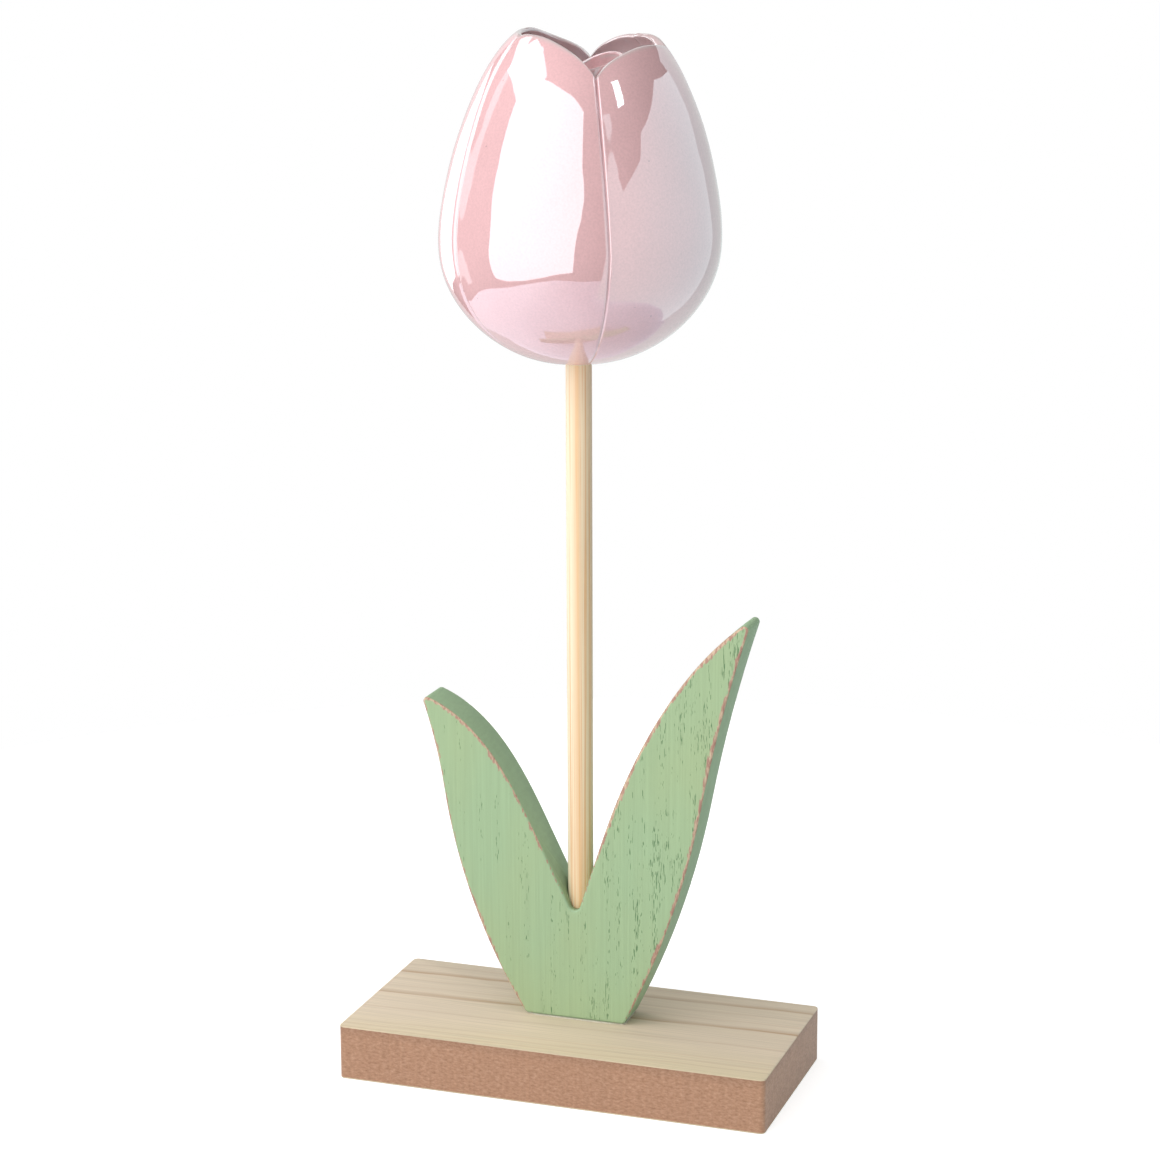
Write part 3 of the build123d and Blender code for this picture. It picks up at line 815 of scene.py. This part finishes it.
def head_section(flower, height):
    """Half a section of the hollow head, as curves of radius and height from the cavity's top, round the
    foot, the side and the lip, to the middle of the pocket's floor. Each ends with its number of steps."""
    belly, tall = flower.belly_radius, flower.belly_height
    wall, floor = flower.wall, flower.pocket_floor
    inner = belly - wall
    ceiling = floor - 1.3 * wall
    ceiling_edge = (0.83 * inner, 0.89 * ceiling)
    hole = flower.hole_radius
    rim_handle = Vector((flower.shoulder_radius, flower.shoulder_height))
    shoulder = Vector((flower.rim_radius, height - 0.2 * flower.rim_wall))
    along = (shoulder - rim_handle).normalized()
    inside = shoulder + Vector((-along.y, along.x)) * flower.rim_wall
    swell = along * flower.rim_wall * 2 / 3
    pocket_radius, pocket_rise = 0.635 * belly, 0.4 * wall
    pocket_edge = (pocket_radius, floor + pocket_rise)
    pocket_side = (pocket_radius, floor + pocket_rise + 1.2 * wall)
    return [
        ((0, ceiling), (0.55 * inner, ceiling), (0.8 * inner, ceiling), ceiling_edge, 8),
        (ceiling_edge, (0.92 * inner, 0.8 * ceiling), (inner, 1.26 * tall), (inner, tall), 8),
        ((inner, tall), (inner, 0.45 * tall), (0.63 * inner, wall), (hole, wall), 12),
        ((hole, wall), (hole, 0.7 * wall), (hole, 0.3 * wall), (hole, 0), 3),
        ((hole, 0), (hole, 0), (flower.foot_radius, 0), (flower.foot_radius, 0), 3),
        ((flower.foot_radius, 0), (flower.foot_handle, 0), (belly, flower.low_handle), (belly, tall), 38),
        ((belly, tall), (belly, flower.high_handle), rim_handle, shoulder, 50),
        (shoulder, shoulder + swell, inside + swell, inside, 8),
        (inside, inside - along * 5 * flower.rim_wall, pocket_side, pocket_edge, 14),
        (pocket_edge, (pocket_radius, floor), (0.5 * belly, floor), (0, floor), 8),
    ]


def petal_place(directions):
    """The petal that each direction falls on, and the place across it from -1 to 1."""
    starts = np.array([furrow[0] for furrow in FURROWS])
    edges = np.append((starts - starts[0]) % 360, 360)
    turned = (directions - starts[0]) % 360
    petal = np.clip(np.searchsorted(edges, turned, side="right") - 1, 0, len(FURROWS) - 1)
    across = 2 * (turned - edges[petal]) / (edges[petal + 1] - edges[petal]) - 1
    return petal, across


def rim_fall(petal, following, across):
    """How far the rim lies under the head's top, least at a petal's tip and most at the furrows beside it."""
    tips = np.array(PETAL_TIPS)[petal]
    tip_place, tip_drop, lateness = tips[:, 0], tips[:, 1] * MM, tips[:, 2]
    before = across < tip_place
    reach = np.where(before, tip_place + 1, 1 - tip_place)
    from_tip = np.abs(across - tip_place) / reach
    furrow_fall = np.array(FURROWS)[np.where(before, petal, following)][:, 5] * MM
    late_part, late_power = 0.25, 12
    slope = (1 - late_part) * from_tip ** lateness + late_part * from_tip ** late_power
    return tip_drop + (furrow_fall - tip_drop) * slope


def press_petals(piece, flower, height):
    """Turns a plain round head into petals: the rim falls to each furrow, the furrows sink in, the surface
    swells a little, and the head leans and moves to its place over the stem."""
    places = points_of(piece)
    radius = np.hypot(places[:, 0], places[:, 1])
    directions = np.degrees(np.arctan2(places[:, 1], places[:, 0]))
    petal, across = petal_place(directions)
    following = (petal + 1) % len(FURROWS)
    furrows = np.array(FURROWS)
    petal_width = (furrows[following, 0] - furrows[petal, 0]) % 360
    across = across * (1 + flower.crowding - flower.crowding * across ** 2)
    directions = furrows[petal, 0] + petal_width * (1 + across) / 2
    first_half = across < 0
    nearest = furrows[np.where(first_half, petal, following)]
    belly_depth, notch_depth, before_width, after_width = (nearest[:, 1:5] * MM).T
    flank_width = np.where(first_half, after_width, before_width)

    side = np.vstack([cubic(*curve) for curve in head_section(flower, height)[5:7]])
    over_floor = np.clip((places[:, 2] - flower.pocket_floor) / (height - flower.pocket_floor), 0, None)
    level = places[:, 2] - rim_fall(petal, following, across) * over_floor
    plain = np.interp(places[:, 2], side[:, 1], side[:, 0])
    crown = np.interp(level, side[:, 1], side[:, 0])

    # The furrows deepen from the belly to just past the notch, and run out to nothing near the foot
    notch_height = flower.notch_share * height
    past_notch = 1.15
    climb = np.clip((level - flower.belly_height) / (notch_height - flower.belly_height), 0, past_notch)
    plain_foot = 0.18
    low_part = np.clip(crown / flower.belly_radius - plain_foot, 0, None)
    depth = np.where(
        level < flower.belly_height,
        belly_depth * low_part / (1 - plain_foot),
        belly_depth + (notch_depth - belly_depth) * climb ** 1.5,
    )
    from_furrow = (1 - np.abs(across)) * np.radians(petal_width / 2) * crown
    crease_rounding = 0.15
    valley = (1 - np.clip(softened(from_furrow / flank_width, crease_rounding), 0, 1)) ** 2
    into_hollow = from_furrow / flower.hollow_reach
    hollow = flower.hollow_depth * into_hollow * np.exp(1 - into_hollow) * first_half * low_part
    dip = flower.lobe_share * across ** 2 + (1 - flower.lobe_share) * valley
    over_belly = np.clip((level - flower.belly_height) / (height - flower.belly_height), 0, 1)
    turn = np.radians(directions) + flower.twist * over_belly
    swell = ripple(turn, [(count, level / (rise * MM), strength) for count, rise, strength in HEAD_SWELLS])
    calm = np.clip(radius / flower.belly_radius, 0, 1)
    pressed = crown - depth * dip - hollow - flower.unevenness * (1 - 0.4 * swell) * calm
    radius = radius * pressed / plain

    moved = np.column_stack([
        stem_axis.x + flower.lean * level + radius * np.cos(turn),
        stem_axis.y + radius * np.sin(turn),
        head_low.z + level,
    ])
    off_foot = places[:, 2] > 0.5 * MM
    lip_start = 0.9
    lip = np.clip((over_floor - lip_start) / (1 - lip_start), 0, 1) ** 2
    inner_side = calm * flower.belly_radius < plain - 0.6 * flower.rim_wall
    in_pocket = inner_side & (places[:, 2] > flower.pocket_floor - MM)
    # The pocket's inside takes part of the pale lip glaze too: painted light that makes its shade paler
    pocket_painted_light = 0.6
    mark(piece, "lip", np.maximum(lip, pocket_painted_light * in_pocket))
    mark(piece, "furrow", valley ** 2 * off_foot)
    move_points(piece, moved)


def inner_petal(flower, radius, first, last, first_rim, middle_rim, last_rim):
    """One folded petal: a sheet rolled round the head's axis, with a wavy rim and a wall."""
    start_clean()
    bpy.ops.mesh.primitive_grid_add(x_subdivisions=48, y_subdivisions=14, size=1)
    sheet = bpy.context.object
    places = points_of(sheet)
    along, up = places[:, 0] + 0.5, places[:, 1] + 0.5
    turn = np.radians(first + (last - first) * along)
    root = flower.pocket_floor - flower.inner_petal_root
    ends = np.where(along < 0.5, first_rim, last_rim)
    rim = (ends + (middle_rim - ends) * np.sin(pi * along) ** 0.8) * MM
    level = root + (rim - root) * up
    bulge = radius * MM * (1 + 0.06 * np.sin(pi * up))
    moved = np.column_stack([
        stem_axis.x + flower.lean * level + bulge * np.cos(turn),
        stem_axis.y + bulge * np.sin(turn),
        head_low.z + level,
    ])
    move_points(sheet, moved)
    close_up(sheet)
    finish_with(sheet, "SOLIDIFY", thickness=flower.inner_petal_wall, offset=0)
    finish_with(sheet, "BEVEL", width=0.4 * flower.inner_petal_wall, segments=3, limit_method="ANGLE")
    return sheet


class TULIP_OT_flower_head(Operator):
    """Models the hollow glazed flower head with its petals and folded inner petals"""

    bl_idname = "tulip.flower_head"
    bl_label = "Flower Head"

    def execute(self, context):
        flower = context.scene.tulip.flower
        height = head_high.z - head_low.z
        start_clean()
        bpy.ops.curve.primitive_bezier_curve_add(location=(0, 0, 0))
        section = bpy.context.object
        section.data.splines.clear()
        for start, first_handle, second_handle, end, steps in head_section(flower, height):
            spline = section.data.splines.new("BEZIER")
            spline.resolution_u = steps
            spline.bezier_points.add(1)
            ends, handles = (start, end), (first_handle, second_handle)
            for point, centre, handle in zip(spline.bezier_points, ends, handles):
                point.handle_left_type = point.handle_right_type = "FREE"
                point.co = (centre[0], 0, centre[1])
                point.handle_left = point.handle_right = (handle[0], 0, handle[1])
        bpy.ops.object.convert(target="MESH")
        head = bpy.context.object
        close_up(head)
        pick(head, "VERT", lambda vertex: True)
        bpy.ops.mesh.spin(steps=420, angle=2 * pi, center=(0, 0, 0), axis=(0, 0, 1))
        close_up(head)
        press_petals(head, flower, height)
        for sizes in INNER_PETALS:
            sheet = inner_petal(flower, *sizes)
            finish_with(head, "BOOLEAN", operation="UNION", solver="EXACT", object=sheet)
            bpy.data.objects.remove(sheet)
        close_up(head)
        bpy.ops.object.shade_smooth_by_angle(angle=radians(50))
        settle(head, "flower_head", pearl_glaze(flower), "lustre_glaze", "tulip_head")
        return {"FINISHED"}


class TULIP_OT_bamboo_stem(Operator):
    """Models the bamboo stem with shallow flutes and chamfered ends"""

    bl_idname = "tulip.bamboo_stem"
    bl_label = "Bamboo Stem"

    def execute(self, context):
        stem = context.scene.tulip.stem
        tall = stem_high.z - stem_low.z
        start_clean()
        bpy.ops.mesh.primitive_cylinder_add(vertices=96, radius=stem_radius, depth=tall, location=stem_axis)
        rod = bpy.context.object
        bpy.ops.object.transform_apply(location=True, rotation=True, scale=True)
        pick(rod, "FACE", lambda face: abs(face.normal.z) > 0.9)
        bpy.ops.mesh.bevel(offset=stem.end_chamfer, segments=2, affect="EDGES")
        bpy.ops.object.mode_set(mode="OBJECT")
        places = points_of(rod)
        aside, behind = places[:, 0] - stem_axis.x, places[:, 1] - stem_axis.y
        turn = np.arctan2(behind, aside)
        narrowing = 1 - stem.flute_depth / stem_radius * (0.5 + 0.25 * ripple(turn, STEM_FLUTES))
        places[:, 0] = stem_axis.x + aside * narrowing
        places[:, 1] = stem_axis.y + behind * narrowing
        move_points(rod, places)
        close_up(rod)
        take(rod)
        bpy.ops.object.shade_smooth_by_angle(angle=radians(30))
        settle(rod, "bamboo_stem", sanded_bamboo(stem), "bamboo", "stem")
        return {"FINISHED"}


class TULIP_OT_painted_leaf(Operator):
    """Models the leaf with rounded edges, its stem socket and its screw holes, and marks its rubbed edges"""

    bl_idname = "tulip.painted_leaf"
    bl_label = "Painted Leaf"

    def execute(self, context):
        leaf = context.scene.tulip.leaf
        hole = context.scene.tulip.base.screw_hole
        flat = 0.999
        board = bpy.data.objects.new("painted_leaf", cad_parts["leaf_front_veneer"].data.copy())
        board.data.materials.clear()
        context.scene.collection.objects.link(board)
        close_up(board)
        pick(board, "FACE", lambda face: face.calc_center_median().y > leaf_front + TOUCHING)
        bpy.ops.mesh.delete(type="FACE")
        pick(board, "FACE", lambda face: True)
        bpy.ops.mesh.dissolve_faces()
        bpy.ops.mesh.select_all(action="SELECT")
        bpy.ops.mesh.extrude_region_move(TRANSFORM_OT_translate={"value": (0, leaf_back - leaf_front, 0)})
        close_up(board)
        finish_with(
            board, "BEVEL", width=leaf.edge_rounding, segments=3,
            limit_method="ANGLE", angle_limit=radians(60),
        )
        close_up(board)
        pick(board, "FACE", lambda face: abs(face.normal.y) > flat)
        bpy.ops.mesh.quads_convert_to_tris(ngon_method="BEAUTY")
        pick(board, "EDGE", lambda edge: all(abs(face.normal.y) > flat for face in edge.link_faces))
        bpy.ops.mesh.subdivide(number_cuts=20)
        bpy.ops.object.mode_set(mode="OBJECT")
        self.mark_wear(board, leaf)

        socket_radius = stem_radius + leaf.socket_play
        socket_bottom = leaf_low.z + leaf.socket_floor
        bore(board, stem_axis, socket_radius, socket_radius, socket_bottom, leaf_high.z)
        for aside in screw_places:
            bore(board, (aside, stem_axis.y), hole, hole, leaf_low.z - MM, screws_high.z)
        close_up(board)
        take(board)
        bpy.ops.object.shade_smooth_by_angle(angle=radians(35))
        settle(
            board, "painted_leaf", rubbed_paint(leaf), "green_paint",
            "leaf_core", "leaf_front_veneer", "leaf_back_veneer",
        )
        return {"FINISHED"}

    def mark_wear(self, board, leaf):
        """Marks the faces, and how far each edge is rubbed: most along the right blade, least at the foot."""
        places = points_of(board)
        normals = np.array([vertex.normal for vertex in board.data.vertices])
        depth = np.minimum(places[:, 1] - leaf_front, leaf_back - places[:, 1])
        on_face = depth < TOUCHING
        flat = 0.995
        rim = on_face & (np.abs(normals[:, 1]) < flat)
        gaps = np.linalg.norm(places[:, None, (0, 2)] - places[None, rim][:, :, (0, 2)], axis=2)
        from_rim = gaps.min(axis=1)
        sideways = normals[rim, 0][gaps.argmin(axis=1)]
        right = places[:, 0] > stem_axis.x
        outer = np.where(right, sideways > 0, sideways < 0)
        right_outer, right_inner, left_outer, left_inner, spared = 1.0, 1.1, 0.95, 0.86, 0.5
        right_rub = np.where(outer, right_outer, right_inner)
        left_rub = np.where(outer, left_outer, left_inner)
        strength = np.where(right, right_rub, left_rub)
        spared_foot = 1.5 * MM
        at_foot = places[:, 2] < leaf_low.z + spared_foot
        notch = np.hypot(places[:, 0] - stem_axis.x, places[:, 2] - leaf_low.z - leaf.notch_height)
        strength = np.where(at_foot | (notch < leaf.kept_notch), spared, strength)
        face_rub = 0.82 * np.clip(1 - from_rim / leaf.rub_reach, 0, 1)
        edge_rub = np.where(depth < 0.8 * leaf.edge_rounding, 1.0, 0.3)
        rub = np.where(on_face, face_rub, edge_rub)
        mark(board, "face", on_face)
        mark(board, "rub", rub * strength)


def board_blank(name, low, high, corner_rounding):
    """A flat block with rounded upright corners between two corners of a box."""
    start_clean()
    bpy.ops.mesh.primitive_cube_add(size=1, location=(low + high) / 2)
    block = bpy.context.object
    block.name = name
    block.scale = high - low
    bpy.ops.object.transform_apply(location=True, rotation=True, scale=True)
    pick(block, "EDGE", lambda edge: abs(edge.verts[0].co.z - edge.verts[1].co.z) > TOUCHING)
    bpy.ops.mesh.bevel(offset=corner_rounding, segments=6, affect="EDGES")
    bpy.ops.object.mode_set(mode="OBJECT")
    return block


class TULIP_OT_base(Operator):
    """Models the base's fibreboard and its two veneers, bored for the screws"""

    bl_idname = "tulip.base"
    bl_label = "Veneered Base"

    def execute(self, context):
        base = context.scene.tulip.base
        hole = base.screw_hole
        board_finish = sawn_fibreboard(base)
        veneer_finish = sanded_veneer(base)
        layers = [
            ("base_board", "base_core", board_finish, "base_fibreboard", None),
            ("top_veneer", "base_top_veneer", veneer_finish, "pale_veneer", 1),
            ("bottom_veneer", "base_bottom_veneer", veneer_finish, "pale_veneer", -1),
        ]
        for name, node, finish, slot, eased_side in layers:
            low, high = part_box(node)
            layer = board_blank(name, low, high, base.corner_rounding)
            if eased_side:
                level = high.z if eased_side > 0 else low.z
                pick(layer, "EDGE", lambda edge: all(abs(v.co.z - level) < TOUCHING for v in edge.verts))
                bpy.ops.mesh.bevel(offset=base.edge_easing, segments=2, affect="EDGES")
                bpy.ops.object.mode_set(mode="OBJECT")
            for aside in screw_places:
                place = (aside, stem_axis.y)
                if name == "bottom_veneer":
                    bore(layer, place, screw_head_radius, screw_head_radius, low.z - MM, high.z + MM)
                elif name == "base_board":
                    bore(layer, place, screw_head_radius, hole, low.z, low.z + base.countersink)
                    bore(layer, place, hole, hole, low.z + MM, high.z + MM)
                else:
                    bore(layer, place, hole, hole, low.z - MM, high.z + MM)
            close_up(layer)
            take(layer)
            bpy.ops.object.shade_smooth_by_angle(angle=radians(30))
            settle(layer, name, finish, slot, node)
        return {"FINISHED"}


class TULIP_OT_glue_and_screws(Operator):
    """Models the glue squeezed out at the leaf's foot, and finishes the hidden glue and the screws"""

    bl_idname = "tulip.glue_and_screws"
    bl_label = "Glue and Screws"

    def execute(self, context):
        glue = context.scene.tulip.glue
        hole = context.scene.tulip.base.screw_hole
        low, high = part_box("leaf_foot_glue")
        centre, half = (low + high) / 2, (high - low) / 2
        clear = dried_glue("dried_clear_glue", glue.clear_glue, cloudiness=0.85)
        start_clean()
        bpy.ops.mesh.primitive_circle_add(vertices=240, radius=1, fill_type="NGON", location=(0, 0, 0))
        bead = bpy.context.object
        places = points_of(bead)
        turn = np.arctan2(places[:, 1], places[:, 0])
        mean_wave = 0.75
        drawn_in = glue.bead_waviness * (mean_wave + ripple(turn, BEAD_WAVES))
        ways = np.column_stack([np.cos(turn), np.sin(turn)])
        plan = np.sign(ways) * np.abs(ways) ** glue.bead_roundness
        places[:, 0] = centre.x + plan[:, 0] * (half.x - drawn_in)
        places[:, 1] = centre.y + plan[:, 1] * (half.y - drawn_in)
        places[:, 2] = low.z
        move_points(bead, places)
        pick(bead, "FACE", lambda face: True)
        bpy.ops.mesh.extrude_region_move(TRANSFORM_OT_translate={"value": (0, 0, high.z - low.z)})
        close_up(bead)
        pick(bead, "EDGE", lambda edge: all(abs(v.co.z - high.z) < TOUCHING for v in edge.verts))
        bpy.ops.mesh.bevel(offset=glue.bead_rounding, segments=3, affect="EDGES")
        for aside in screw_places:
            bore(bead, (aside, stem_axis.y), hole, hole, low.z - MM, high.z + MM)
        close_up(bead)
        take(bead)
        bpy.ops.object.shade_smooth_by_angle(angle=radians(40))
        settle(bead, "foot_glue_bead", clear, "clear_glue", "leaf_foot_glue")

        # The hidden glue and the screws keep the frame's own meshes
        kept = {
            "socket_glue": clear,
            "head_glue": dried_glue("milky_hot_melt", glue.hot_melt, cloudiness=0.95),
            "foot_screws": zinc_plate(glue),
        }
        for node, finish in kept.items():
            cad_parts[node].data.materials.clear()
            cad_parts[node].data.materials.append(finish)
        return {"FINISHED"}


def towards(azimuth, elevation):
    """The direction at an azimuth from -Y towards +X and an elevation over the horizon."""
    flat = cos(elevation)
    return Vector((sin(azimuth) * flat, -cos(azimuth) * flat, sin(elevation)))


class TULIP_OT_stage(Operator):
    """Sets up the camera, the floor, the lamps, and the room and sheets that the glaze mirrors"""

    bl_idname = "tulip.stage"
    bl_label = "Stage"

    def execute(self, context):
        stage = context.scene.tulip.stage
        context.scene.view_settings.view_transform = "Standard"
        self.set_camera(context, stage)
        self.set_world(context, stage)
        self.set_floor(stage)
        self.set_studio(stage)
        self.set_lamps(context)
        return {"FINISHED"}

    def set_floor(self, stage):
        """A round white floor under the ornament."""
        start_clean()
        bpy.ops.mesh.primitive_circle_add(vertices=128, radius=stage.floor_radius, fill_type="NGON")
        floor = bpy.context.object
        floor.name = "studio_floor"
        floor.data.materials.append(white_floor(stage))

    def set_lamps(self, context):
        """Flat lamps round the flower head, each turned towards it."""
        for name, azimuth, elevation, distance, wide, tall, radiance, mirrored in LAMPS:
            light = bpy.data.lights.new(name, "AREA")
            light.shape = "RECTANGLE"
            light.size = wide
            light.size_y = tall
            light.energy = radiance * pi * wide * tall
            lamp = bpy.data.objects.new(name, light)
            context.scene.collection.objects.link(lamp)
            back = towards(radians(azimuth), radians(elevation))
            place = HEAD_CENTRE + back * distance
            turn = back.to_track_quat("Z", "Y").to_matrix().to_4x4()
            lamp.matrix_world = Matrix.Translation(place) @ turn
            lamp.visible_glossy = mirrored

    def set_studio(self, stage):
        """A dark room with an open back, a white card on the right and two screens behind, for the glaze to
        mirror. None of them shows to the camera."""
        start_clean()
        bpy.ops.mesh.primitive_uv_sphere_add(
            segments=96, ring_count=48, radius=stage.room_radius, location=HEAD_CENTRE
        )
        room = bpy.context.object
        room.name = "dark_room"
        bpy.ops.object.transform_apply(location=True, rotation=True, scale=True)
        straight_back = towards(radians(180), 0)
        pick(
            room, "FACE",
            lambda face: (face.calc_center_median() - HEAD_CENTRE).angle(straight_back) < stage.back_opening,
        )
        bpy.ops.mesh.delete(type="FACE")
        bpy.ops.object.mode_set(mode="OBJECT")
        room.data.materials.append(studio_sheet(stage, "dark_felt", FELT_TONE, FELT_TONE, 0.0))
        room.visible_diffuse = False
        sheets = [room]
        for name, radius, front_tone, back_tone, as_light, top_edge in SHEETS:
            sheet = self.standing_sheet(name, radius * MM, top_edge)
            sheet.data.materials.append(studio_sheet(stage, name, front_tone, back_tone, as_light))
            sheets.append(sheet)
        for sheet in sheets:
            sheet.visible_camera = False
            sheet.visible_shadow = False
        start_clean()

    def standing_sheet(self, name, radius, top_edge):
        """A curved sheet round the ornament, from the floor up to an edge given by azimuths and heights."""
        start_clean()
        bpy.ops.mesh.primitive_grid_add(x_subdivisions=240, y_subdivisions=1, size=1)
        sheet = bpy.context.object
        sheet.name = name
        azimuths, heights = np.array(top_edge).T
        places = points_of(sheet)
        azimuth = azimuths[0] + (azimuths[-1] - azimuths[0]) * (places[:, 0] + 0.5)
        top = np.interp(azimuth, azimuths, heights) * MM
        turn = np.radians(azimuth)
        moved = np.column_stack([radius * np.sin(turn), -radius * np.cos(turn), top * (places[:, 1] + 0.5)])
        move_points(sheet, moved)
        return sheet

    def set_camera(self, context, stage):
        """Puts the camera where the photograph was taken from."""
        data = bpy.data.cameras.new("photo_camera")
        data.sensor_width = 36
        data.lens = stage.lens
        data.clip_start = 0.01
        data.clip_end = 20
        camera = bpy.data.objects.new("photo_camera", data)
        context.scene.collection.objects.link(camera)
        back = towards(stage.azimuth, stage.elevation)
        right = Vector((cos(stage.azimuth), sin(stage.azimuth), 0))
        up = back.cross(right)
        turned_right = cos(stage.roll) * right + sin(stage.roll) * up
        turned_up = cos(stage.roll) * up - sin(stage.roll) * right
        target = Vector((stage.target_aside, 0, stage.target_height))
        turn = Matrix((turned_right, turned_up, back)).transposed().to_4x4()
        camera.matrix_world = Matrix.Translation(target + back * stage.distance) @ turn
        context.scene.camera = camera

    def set_world(self, context, stage):
        """A white surround where it is looked at, mirrored or seen through, and a softer one as light."""
        world = bpy.data.worlds.new("white_surround")
        world.use_nodes = True
        tree = world.node_tree
        tree.nodes.clear()
        path = add_node(tree, "LightPath").outputs
        seen = path["Is Camera Ray"]
        for ray in ("Is Glossy Ray", "Is Transmission Ray"):
            seen = add_node(tree, "Math", {0: seen, 1: path[ray]}, operation="MAXIMUM").outputs[0]
        ambient = add_node(tree, "Background", {"Color": grey(1), "Strength": stage.ambient})
        shown = add_node(tree, "Background", {"Color": grey(1), "Strength": 1.0})
        both = add_node(tree, "MixShader", {0: seen, 1: ambient.outputs[0], 2: shown.outputs[0]})
        add_node(tree, "OutputWorld", {"Surface": both.outputs[0]})
        context.scene.world = world


class VIEW3D_PT_tulip(Panel):
    """Lists the ornament's settings and its pieces"""

    bl_label = "Tulip Ornament"
    bl_space_type = "VIEW_3D"
    bl_region_type = "UI"
    bl_category = "Tulip"

    def draw(self, context):
        """Draws a box for each group of settings, then a button for each piece."""
        for group_name in TulipSettings.__annotations__:
            group = getattr(context.scene.tulip, group_name)
            box = self.layout.box()
            box.label(text=group_name.title())
            for setting in type(group).__annotations__:
                box.prop(group, setting)
        for operator in OPERATORS:
            self.layout.operator(operator.bl_idname)


SETTINGS = (
    FlowerSettings,
    StemSettings,
    LeafSettings,
    BaseSettings,
    GlueSettings,
    StageSettings,
    TulipSettings,
)
OPERATORS = (
    TULIP_OT_flower_head,
    TULIP_OT_bamboo_stem,
    TULIP_OT_painted_leaf,
    TULIP_OT_base,
    TULIP_OT_glue_and_screws,
    TULIP_OT_stage,
)
CLASSES = (*SETTINGS, *OPERATORS, VIEW3D_PT_tulip)


def register():
    """Registers the classes and hangs the settings on the scene."""
    for cls in CLASSES:
        bpy.utils.register_class(cls)
    bpy.types.Scene.tulip = PointerProperty(type=TulipSettings)


def unregister():
    """Takes the settings and the classes away again."""
    del bpy.types.Scene.tulip
    for cls in reversed(CLASSES):
        bpy.utils.unregister_class(cls)


def main():
    """Builds every piece in order."""
    register()
    bpy.ops.tulip.flower_head()
    bpy.ops.tulip.bamboo_stem()
    bpy.ops.tulip.painted_leaf()
    bpy.ops.tulip.base()
    bpy.ops.tulip.glue_and_screws()
    bpy.ops.tulip.stage()


if __name__ == "__main__":
    main()
